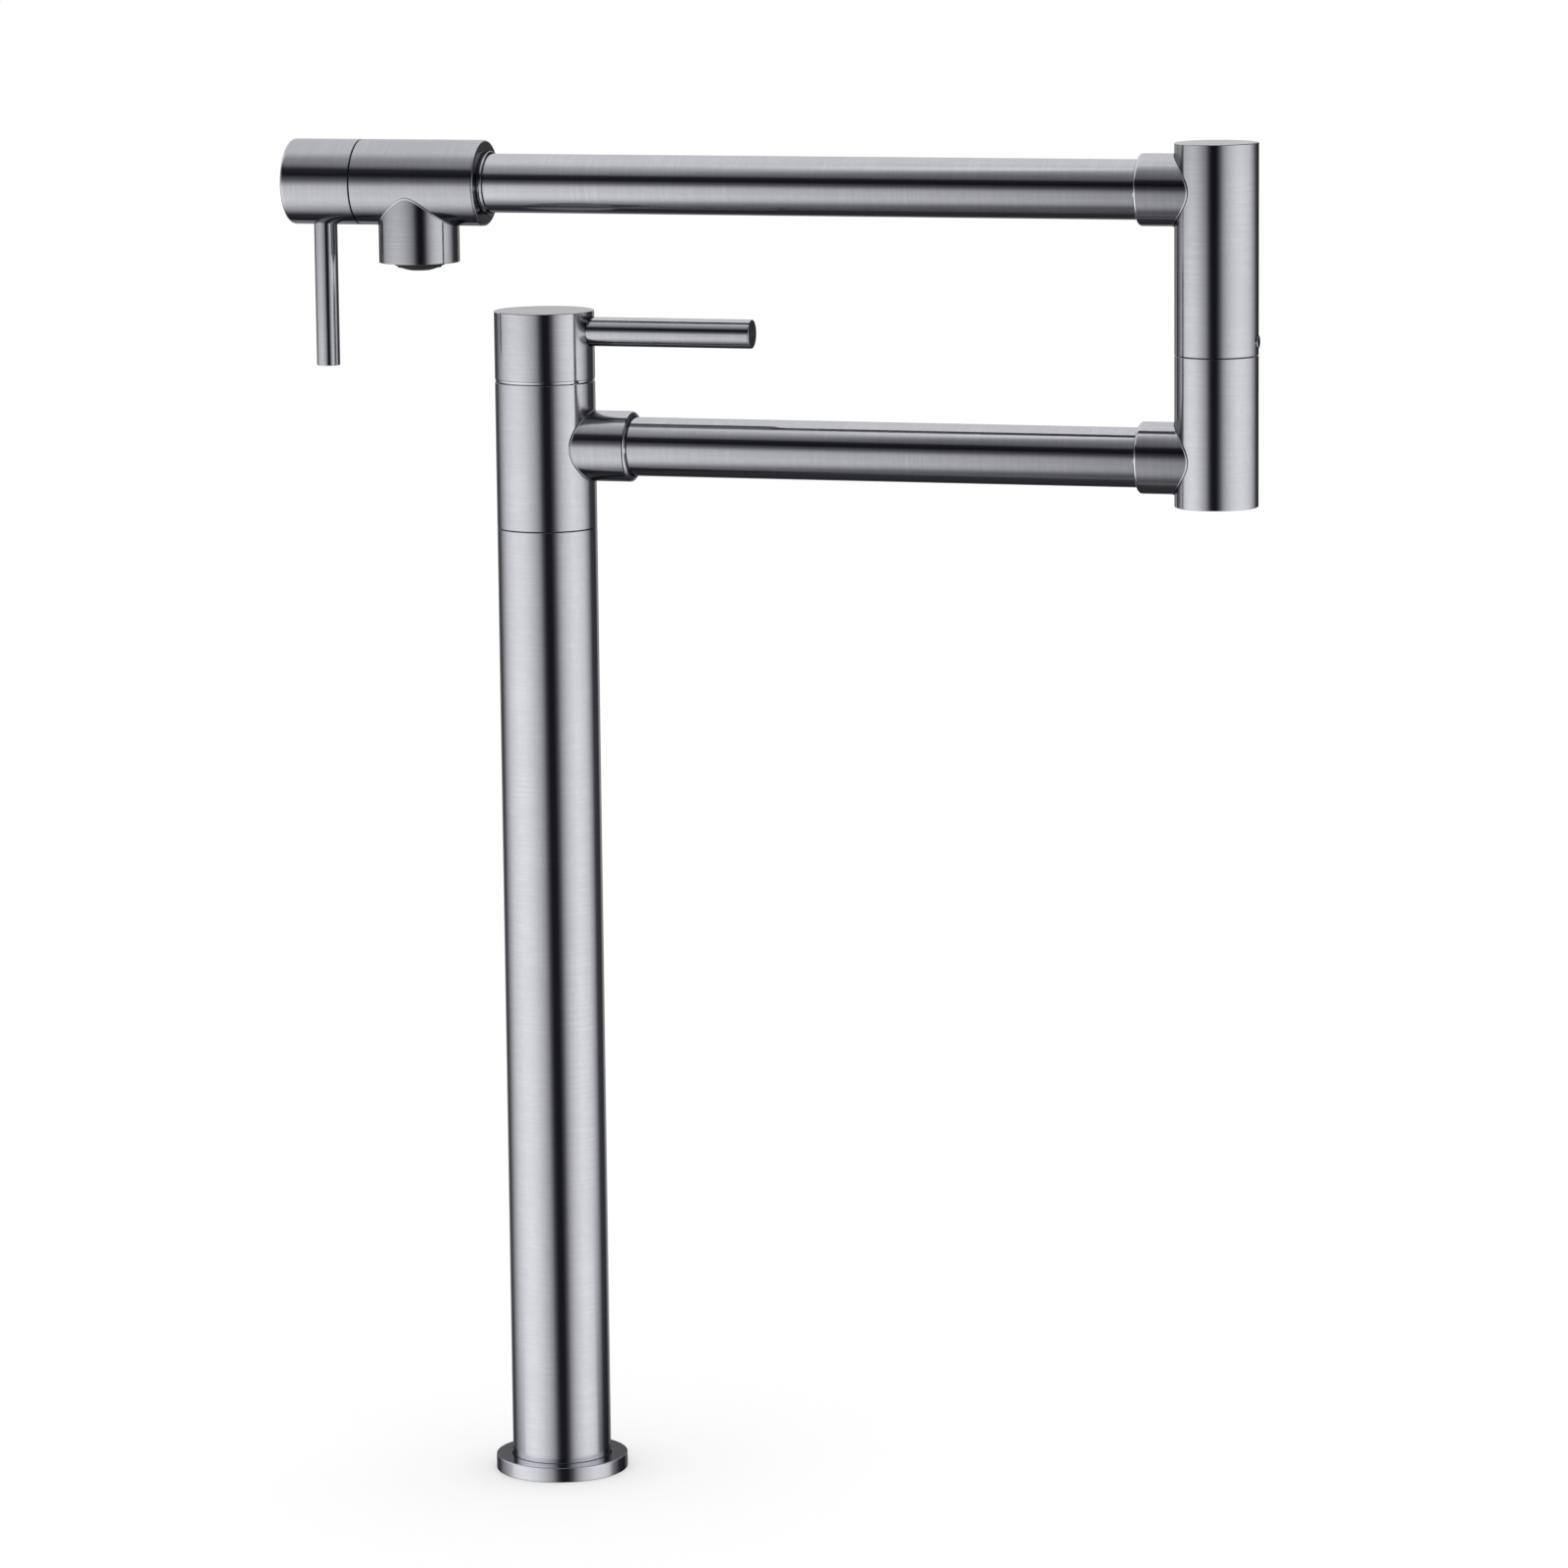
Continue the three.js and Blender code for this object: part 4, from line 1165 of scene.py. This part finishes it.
class POTFILLER_OT_swivel(Step, bpy.types.Operator):
    """Turns the swivel body and the polished ring on top of it"""

    bl_idname = "pot_filler.swivel"
    bl_label = "Swivel body and ring"

    def build(self, shape):
        body = Span("swivel_body")
        arm_height = Span("lower_arm_tube", TO_RIGHT).middle.z
        blank = turned_mesh("sleeve", sleeve_outline(shape), shape)
        mesh = cut(blank, arm_socket(shape, body.radius, arm_height, 0.0))
        add_piece("swivel_body", mesh, body.place, "brushed_steel")
        turn_piece("swivel_top_ring", top_ring_outline(shape), shape, "polished_steel")


class POTFILLER_OT_arm_tubes(Step, bpy.types.Operator):
    """Draws the two arm tubes"""

    bl_idname = "pot_filler.arm_tubes"
    bl_label = "Arm tubes"

    def build(self, shape):
        edge = shape.seam_edge
        for node in ("lower_arm_tube", "upper_arm_tube"):
            outline = tube_outline(Span(node, TO_RIGHT), shape.arm_wall, edge, edge)
            turn_piece(node, outline, shape, "brushed_steel", TO_RIGHT)


class POTFILLER_OT_collars(Step, bpy.types.Operator):
    """Turns the three collars and copes them to their posts"""

    bl_idname = "pot_filler.collars"
    bl_label = "Arm collars"

    def build(self, shape):
        collars = (
            ("lower_inner_collar", "swivel_body", TO_RIGHT),
            ("lower_outer_collar", "lower_elbow_post", TO_LEFT),
            ("upper_elbow_collar", "upper_elbow_post", TO_LEFT),
        )
        for node, post_node, direction in collars:
            collar = Span(node, direction)
            post = Span(post_node)
            from_post = post.middle.x * pointing(direction).x
            outline = collar_outline(shape, post.radius, collar.top - from_post)
            mesh = turned_mesh(node, outline, shape, post.radius)
            place = collar.place @ Matrix.Translation((0, 0, from_post))
            add_piece(node, mesh, place, "brushed_steel")


class POTFILLER_OT_elbow(Step, bpy.types.Operator):
    """Turns the two elbow posts and the lock screw between them"""

    bl_idname = "pot_filler.elbow"
    bl_label = "Elbow posts"

    def build(self, shape):
        lower = Span("lower_elbow_post")
        upper = Span("upper_elbow_post")
        screw = Span("elbow_lock_screw", TO_RIGHT)
        lower_arm = Span("lower_arm_tube", TO_RIGHT).middle.z
        upper_arm = Span("upper_arm_tube", TO_RIGHT).middle.z
        blank = turned_mesh("lower post", lower_post_outline(shape), shape)
        mesh = cut(blank, arm_socket(shape, lower.radius, lower_arm, math.pi))
        add_piece("lower_elbow_post", mesh, lower.place, "brushed_steel")
        blank = turned_mesh("upper post", upper_post_outline(shape), shape)
        cutters = arm_socket(shape, upper.radius, upper_arm, math.pi)
        hole = screw.radius + shape.fit
        cutters.append(cross_bore(shape, hole, 0.0, 2 * upper.radius, screw.middle.z, 0.0))
        mesh = cut(blank, cutters)
        add_piece("upper_elbow_post", mesh, upper.place, "brushed_steel")
        bore = upper.middle.x + Span("elbow_spindle").radius + 2 * shape.running_fit
        blank = turned_mesh("lock screw", lock_screw_outline(shape, screw, bore), shape)
        mesh = cut(blank, [hexagon_socket(shape, screw.top)])
        add_piece("elbow_lock_screw", mesh, screw.place, "polished_steel")


class POTFILLER_OT_outlet(Step, bpy.types.Operator):
    """Turns the outlet body and the ring on the tube beside it"""

    bl_idname = "pot_filler.outlet"
    bl_label = "Outlet body and ring"

    def build(self, shape):
        body = Span("outlet_body", TO_LEFT)
        spout = Span("spout_nozzle", DOWN)
        blank = turned_mesh("outlet", outlet_outline(shape), shape)
        passage = shape.spout_passage / 2
        port = cross_bore(shape, passage, 0.0, 2 * body.radius, -spout.middle.x, math.pi)
        mesh = cut(blank, [port])
        add_piece("outlet_body", mesh, body.place, "shaded_outlet_steel")
        outline = tube_ring_outline(shape)
        turn_piece("outlet_tube_ring", outline, shape, "polished_steel", TO_LEFT)


class POTFILLER_OT_spout(Step, bpy.types.Operator):
    """Turns the spout nozzle and the aerator's housing in it"""

    bl_idname = "pot_filler.spout"
    bl_label = "Spout and aerator"

    def build(self, shape):
        saddle = Span("outlet_body", TO_LEFT).radius
        turn_piece("spout_nozzle", nozzle_outline(shape), shape, "shaded_outlet_steel", DOWN, saddle)
        turn_piece("aerator_housing", aerator_outline(shape), shape, "slip_plastic", DOWN)


class POTFILLER_OT_handles(Step, bpy.types.Operator):
    """Turns both handles: cap, bar lever and set screw"""

    bl_idname = "pot_filler.handles"
    bl_label = "Handles"

    def build(self, shape):
        edge = shape.seam_edge
        top = shape.main_cap_round
        self.handle(shape, "main", "brushed_steel", UPRIGHT, TO_RIGHT, top, edge)
        top = shape.outlet_cap_round
        # The outlet handle takes the darker steel that paints shade on the outlet pieces.
        self.handle(shape, "outlet", "shaded_outlet_steel", TO_LEFT, DOWN, top, edge)

    def handle(self, shape, name, steel, cap_way, lever_way, top_edge, foot_edge):
        """One handle, whose cap and lever point along the given directions."""
        cap = Span(f"{name}_handle_cap", cap_way)
        bonnet = Span(f"{name}_bonnet_nut", cap_way)
        adaptor = Span(f"{name}_stem_adaptor", cap_way)
        lever = Span(f"{name}_lever", lever_way)
        screw = Span(f"{name}_handle_screw", TO_BACK)
        lever_offset = pointing(lever_way).dot(cap.middle)
        lever_height = pointing(cap_way).dot(lever.middle)
        screw_height = pointing(cap_way).dot(screw.middle)
        to_lever = 0.0 if cap_way is UPRIGHT else math.pi
        floor = cap.radius - shape.lever_socket_depth - shape.running_fit
        stud = lever.radius * shape.lever_stud_share + shape.fit
        socket = lever.radius + shape.fit
        hole = screw.radius + shape.fit
        outline = cap_outline(shape, cap, bonnet, adaptor, top_edge, foot_edge)
        cutters = [
            cross_bore(shape, socket, floor, 2 * cap.radius, lever_height, to_lever),
            cross_bore(shape, stud, 0.0, cap.radius, lever_height, to_lever),
            cross_bore(shape, hole, 0.0, 2 * cap.radius, screw_height, math.pi / 2),
        ]
        mesh = cut(turned_mesh("cap", outline, shape), cutters)
        add_piece(f"{name}_handle_cap", mesh, cap.place, steel)
        outline = lever_outline(shape, lever, lever_offset + cap.radius)
        turn_piece(f"{name}_lever", outline, shape, steel, lever_way)
        blank = turned_mesh("screw", screw_outline(shape, screw), shape)
        mesh = cut(blank, [hexagon_socket(shape, screw.top)])
        add_piece(f"{name}_handle_screw", mesh, screw.place, "polished_steel")


class POTFILLER_OT_works(Step, bpy.types.Operator):
    """Gives the works inside their brass, rubber, plastic, ceramic and steel"""

    bl_idname = "pot_filler.works"
    bl_label = "Works inside"

    def build(self, shape):
        endings = {
            "seal_rubber": ("gasket", "o_ring_lower", "o_ring_upper", "seal", "aerator_washer"),
            "slip_plastic": ("thrust_washer", "screen"),
            "disc_ceramic": ("disc",),
            "polished_steel": ("supply_tube",),
            "turned_brass": ("insert", "core", "nut", "housing", "stem", "adaptor", "spindle"),
        }
        for name, node in frame["nodes"].items():
            if node.hide_render:
                continue
            slots = [slot for slot, ends in endings.items() if name.endswith(ends)]
            if len(slots) != 1:
                raise RuntimeError(f"no single finish for {name}")
            for material_slot in node.material_slots:
                material_slot.material = finish_of(slots[0])


# ---------------------------------------------------------------- studio

# How bright the tent's cloth is. Round the sides it goes by degrees from the camera's side, to
# the right. Higher up it goes by height from the tent's middle, as a share of its radius.
SIDE_CLOTH = (
    (-180, 0.11), (-171, 0.12), (-161, 0.3), (-153, 0.3), (-144, 0.04), (-132, 0.12),
    (-120, 0.4), (-104, 0.76), (-92, 0.9), (-78, 1.0), (-64, 0.99), (-50, 0.87),
    (-32, 0.58), (-22, 0.36), (-13, 0.08), (-6, 0.012), (7, 0.012), (15, 0.09),
    (26, 0.43), (36, 0.67), (47, 0.83), (60, 0.95), (70, 0.96), (83, 0.88),
    (96, 0.75), (112, 0.4), (125, 0.06), (152, 0.03), (160, 0.33), (165, 0.33),
    (172, 0.12), (180, 0.11),
)
FRONT_ROOF = (
    (0.66, 0.015), (0.7, 0.037), (0.74, 0.12), (0.8, 0.18), (0.86, 0.21), (0.91, 0.27),
    (0.95, 0.35), (0.985, 0.52), (1.0, 0.58),
)
BACK_ROOF = (
    (0.03, 0.19), (0.15, 0.42), (0.3, 0.56), (0.6, 0.62), (0.85, 0.65), (0.94, 0.66),
    (0.98, 0.63), (1.0, 0.58),
)
SIDE_HEIGHT = (
    (-0.95, 0.08), (-0.88, 0.17), (-0.8, 0.38), (-0.67, 0.68), (-0.55, 0.82), (-0.48, 0.87),
    (-0.38, 0.87), (-0.27, 0.86), (-0.1, 0.86), (0.0, 0.82), (0.08, 0.79), (0.12, 0.72),
    (0.16, 0.58), (0.25, 0.35), (0.31, 0.19), (0.42, 0.08), (0.5, 0.012),
)

# Where the tent's light changes, as pairs of from and to. Right, up and away are the parts of a
# direction from its middle, away from the camera. A turn goes from 0 at the tent's back, by its
# left, the camera's side and its right, to 1 at the back again.
LEFT_ROOF_TURN = (0.4, 0.355)
LEFT_ROOF_SHARES = (0.68, 1.5)
SLANT_UP = (-0.1, 0.1)
SLANT_TURN = 0.004
LOWERED_RIGHT = (-0.2, 0.4)
LOWERED_UP = (-0.1, 0.2)
LOWERED_BY = -0.06
FLAG_RIGHT = (0.26, 0.38)
FLAG_SHARE = 0.08
ROOF_AWAY = (-0.15, 0.15)
ROOF_EDGE_AWAY = (0.0, 0.6)
ROOF_EDGE_FRONT = (0.5, 0.64)
ROOF_EDGE_BACK = (0.12, 0.27)
FOOT_UP = (-0.62, -0.4)
FOOT_AWAY = (0.4, 0.0)
LOW_UP = (-0.55, -0.75)
LOW_LIGHT = 0.03
LOW_BLUE = 0.003
AHEAD_FROM = (-0.25, -0.1)
AHEAD_TO = (0.14, 0.02)
AHEAD_AWAY = (0.7, 0.45)
SECOND_BOUNCE = 0.25
BLACK = (0.0, 0.0, 0.0, 1.0)
SENSOR_WIDTH = 36.0


def by_height(stops):
    """Stops by height from -1 to 1, as stops from 0 to 1."""
    return [((rise + 1) / 2, level) for rise, level in stops]


class POTFILLER_OT_stage(bpy.types.Operator):
    """Sets up the camera, the pale floor, the white background and the light tent"""

    bl_idname = "pot_filler.stage"
    bl_label = "Studio"

    def execute(self, context):
        studio = context.scene.pot_filler_studio
        context.scene.view_settings.view_transform = "Standard"
        self.camera(context.scene, studio)
        self.floor(studio)
        self.tent(studio)
        self.background(context.scene)
        return {"FINISHED"}

    def camera(self, scene, studio):
        """The camera, with its line of sight through the target."""
        level = math.cos(studio.elevation)
        right = math.sin(studio.azimuth) * level
        ahead = -math.cos(studio.azimuth) * level
        backwards = Vector((right, ahead, math.sin(studio.elevation)))
        turn = backwards.to_track_quat("Z", "Y").to_matrix().to_4x4()
        place = Vector(studio.target) + backwards * studio.distance
        data = bpy.data.cameras.new("camera")
        data.lens = studio.lens
        data.sensor_width = SENSOR_WIDTH
        camera = put_in_scene("camera", data)
        roll = Matrix.Rotation(studio.roll, 4, "Z")
        camera.matrix_world = Matrix.Translation(place) @ turn @ roll
        scene.camera = camera

    def floor(self, studio):
        """A round pale floor. Seen directly or through glass it comes up to white, and it keeps
        the object's shadow. The metal reflects the light tent in its place."""
        built = bmesh.new()
        bmesh.ops.create_circle(built, cap_ends=True, segments=128, radius=studio.floor_radius)
        mesh = mesh_from(built, "floor")
        material = bpy.data.materials.new("pale_floor")
        graph = Graph(material)
        paint = graph.add("ShaderNodeBsdfDiffuse")
        paint.inputs["Color"].default_value = shade(studio.floor_colour, 1.0)
        rays = graph.add("ShaderNodeLightPath")
        seen = graph.math("MAXIMUM", rays.outputs["Is Camera Ray"], rays.outputs["Is Glossy Ray"])
        seen = graph.math("MAXIMUM", seen, rays.outputs["Is Transmission Ray"])
        glow = graph.add("ShaderNodeEmission")
        graph.join(graph.math("MULTIPLY", seen, studio.floor_lift), glow.inputs["Strength"])
        both = graph.add("ShaderNodeAddShader")
        graph.join(paint.outputs[0], both.inputs[0])
        graph.join(glow.outputs[0], both.inputs[1])
        graph.surface(both.outputs[0])
        mesh.materials.append(material)
        floor = put_in_scene("floor", mesh)
        floor.visible_glossy = False

    def tent(self, studio):
        """A round light tent with dark flags, seen only in the metal."""
        built = bmesh.new()
        bmesh.ops.create_uvsphere(built, u_segments=64, v_segments=32, radius=studio.tent_radius)
        mesh = mesh_from(built, "tent")
        material = bpy.data.materials.new("tent_cloth")
        graph = Graph(material)
        graph.surface(self.tent_light(graph))
        mesh.materials.append(material)
        tent = put_in_scene("light_tent", mesh)
        turn = Matrix.Rotation(studio.azimuth, 4, "Z")
        tent.matrix_world = Matrix.Translation(studio.target) @ turn
        tent.visible_camera = False
        tent.visible_diffuse = False
        tent.visible_transmission = False
        tent.visible_volume_scatter = False
        tent.visible_shadow = False

    def tent_light(self, graph):
        """The glow of the tent's cloth by the direction in which it hangs."""
        way = graph.add("ShaderNodeVectorMath", operation="NORMALIZE")
        graph.join(graph.place(), way.inputs[0])
        right, away, up = graph.parts(way.outputs[0])
        light = self.side_or_roof(graph, right, away, up)
        foot = graph.math("MAXIMUM", graph.remap(up, *FOOT_UP), graph.remap(away, *FOOT_AWAY))
        light = graph.blend(foot, BLACK, light)
        low = graph.remap(up, *LOW_UP, 0.0, LOW_LIGHT)
        dusk = graph.add("ShaderNodeVectorMath", operation="ADD")
        graph.join(light, dusk.inputs[0])
        graph.join(graph.vector(low, low, graph.math("ADD", low, LOW_BLUE)), dusk.inputs[1])
        glow = graph.add("ShaderNodeEmission")
        graph.join(dusk.outputs[0], glow.inputs["Color"])
        graph.join(self.bounce_share(graph, away, up), glow.inputs["Strength"])
        return glow.outputs[0]

    def side_or_roof(self, graph, right, away, up):
        """The light of the cloth round the sides, and of the roof above it."""
        near = graph.math("MULTIPLY", away, -1.0)
        turn = graph.math("MULTIPLY_ADD", graph.math("ARCTAN2", right, near), 0.5 / math.pi, 0.5)
        to_left = graph.remap(turn, *LEFT_ROOF_TURN, *LEFT_ROOF_SHARES)
        turn = graph.math("ADD", turn, graph.remap(up, *SLANT_UP, 0.0, SLANT_TURN))
        side = graph.ramp(turn, [((angle + 180) / 360, level) for angle, level in SIDE_CLOTH])
        height = graph.math("MULTIPLY_ADD", up, 0.5, 0.5)
        front = graph.math("MULTIPLY", graph.ramp(height, by_height(FRONT_ROOF)), to_left)
        back = graph.ramp(height, by_height(BACK_ROOF))
        to_right = graph.remap(right, *LOWERED_RIGHT)
        higher = graph.math("MULTIPLY", to_right, graph.remap(up, *LOWERED_UP))
        lowered = graph.math("MULTIPLY_ADD", higher, LOWERED_BY, height)
        side = graph.blend(graph.ramp(lowered, by_height(SIDE_HEIGHT)), BLACK, side)
        flagged = graph.math("MULTIPLY", back, graph.remap(right, *FLAG_RIGHT, 1.0, FLAG_SHARE))
        roof = graph.blend(graph.remap(away, *ROOF_AWAY), front, flagged)
        edge = graph.add("ShaderNodeMix", data_type="FLOAT")
        graph.feed(edge.inputs["Factor"], graph.remap(away, *ROOF_EDGE_AWAY))
        graph.feed(edge.inputs["A"], graph.remap(up, *ROOF_EDGE_FRONT))
        graph.feed(edge.inputs["B"], graph.remap(up, *ROOF_EDGE_BACK))
        return graph.blend(edge.outputs["Result"], side, roof)

    def bounce_share(self, graph, away, up):
        """How much of the light a ray gets that has met metal before. It is all of it level
        with the object and less elsewhere, which stands for the shade of metal on metal."""
        depth = graph.add("ShaderNodeLightPath").outputs["Ray Depth"]
        level = graph.math("MULTIPLY", graph.remap(up, *AHEAD_FROM), graph.remap(up, *AHEAD_TO))
        ahead = graph.math("MULTIPLY", level, graph.remap(away, *AHEAD_AWAY))
        return graph.remap(depth, 1.0, 2.0, 1.0, graph.spread(ahead, SECOND_BOUNCE, 1.0))

    def background(self, scene):
        """A plain white world. It lights paint and plastic, and the tent stands before it for
        the metal."""
        world = bpy.data.worlds.new("white_studio")
        scene.world = world
        world.use_nodes = True
        light = world.node_tree.nodes["Background"]
        light.inputs["Color"].default_value = (1.0, 1.0, 1.0, 1.0)
        light.inputs["Strength"].default_value = 1.0
        world.cycles_visibility.glossy = False


# ---------------------------------------------------------------- panel and registration

STEPS = (
    POTFILLER_OT_base_flange,
    POTFILLER_OT_riser,
    POTFILLER_OT_swivel,
    POTFILLER_OT_arm_tubes,
    POTFILLER_OT_collars,
    POTFILLER_OT_elbow,
    POTFILLER_OT_outlet,
    POTFILLER_OT_spout,
    POTFILLER_OT_handles,
    POTFILLER_OT_works,
    POTFILLER_OT_stage,
)


class POTFILLER_PT_panel(bpy.types.Panel):
    """Lists the pot filler's pieces and settings in the sidebar"""

    bl_idname = "POTFILLER_PT_panel"
    bl_label = "Pot filler"
    bl_space_type = "VIEW_3D"
    bl_region_type = "UI"
    bl_category = "Pot filler"

    def draw(self, context):
        for step in STEPS:
            self.layout.operator(step.bl_idname)
        for group in ("pot_filler_shape", "pot_filler_finish", "pot_filler_studio"):
            settings = getattr(context.scene, group)
            box = self.layout.box()
            for name in settings.bl_rna.properties.keys():
                if name not in ("rna_type", "name"):
                    box.prop(settings, name)


GROUPS = (PotFillerShape, PotFillerFinish, PotFillerStudio)
CLASSES = (*GROUPS, *STEPS, POTFILLER_PT_panel)


def register():
    for one in CLASSES:
        bpy.utils.register_class(one)
    bpy.types.Scene.pot_filler_shape = PointerProperty(type=PotFillerShape)
    bpy.types.Scene.pot_filler_finish = PointerProperty(type=PotFillerFinish)
    bpy.types.Scene.pot_filler_studio = PointerProperty(type=PotFillerStudio)


def unregister():
    del bpy.types.Scene.pot_filler_studio
    del bpy.types.Scene.pot_filler_finish
    del bpy.types.Scene.pot_filler_shape
    for one in reversed(CLASSES):
        bpy.utils.unregister_class(one)


def main():
    """Registers the add-on and builds everything in order."""
    register()
    bpy.ops.pot_filler.base_flange()
    bpy.ops.pot_filler.riser()
    bpy.ops.pot_filler.swivel()
    bpy.ops.pot_filler.arm_tubes()
    bpy.ops.pot_filler.collars()
    bpy.ops.pot_filler.elbow()
    bpy.ops.pot_filler.outlet()
    bpy.ops.pot_filler.spout()
    bpy.ops.pot_filler.handles()
    bpy.ops.pot_filler.works()
    bpy.ops.pot_filler.stage()


if __name__ == "__main__":
    main()
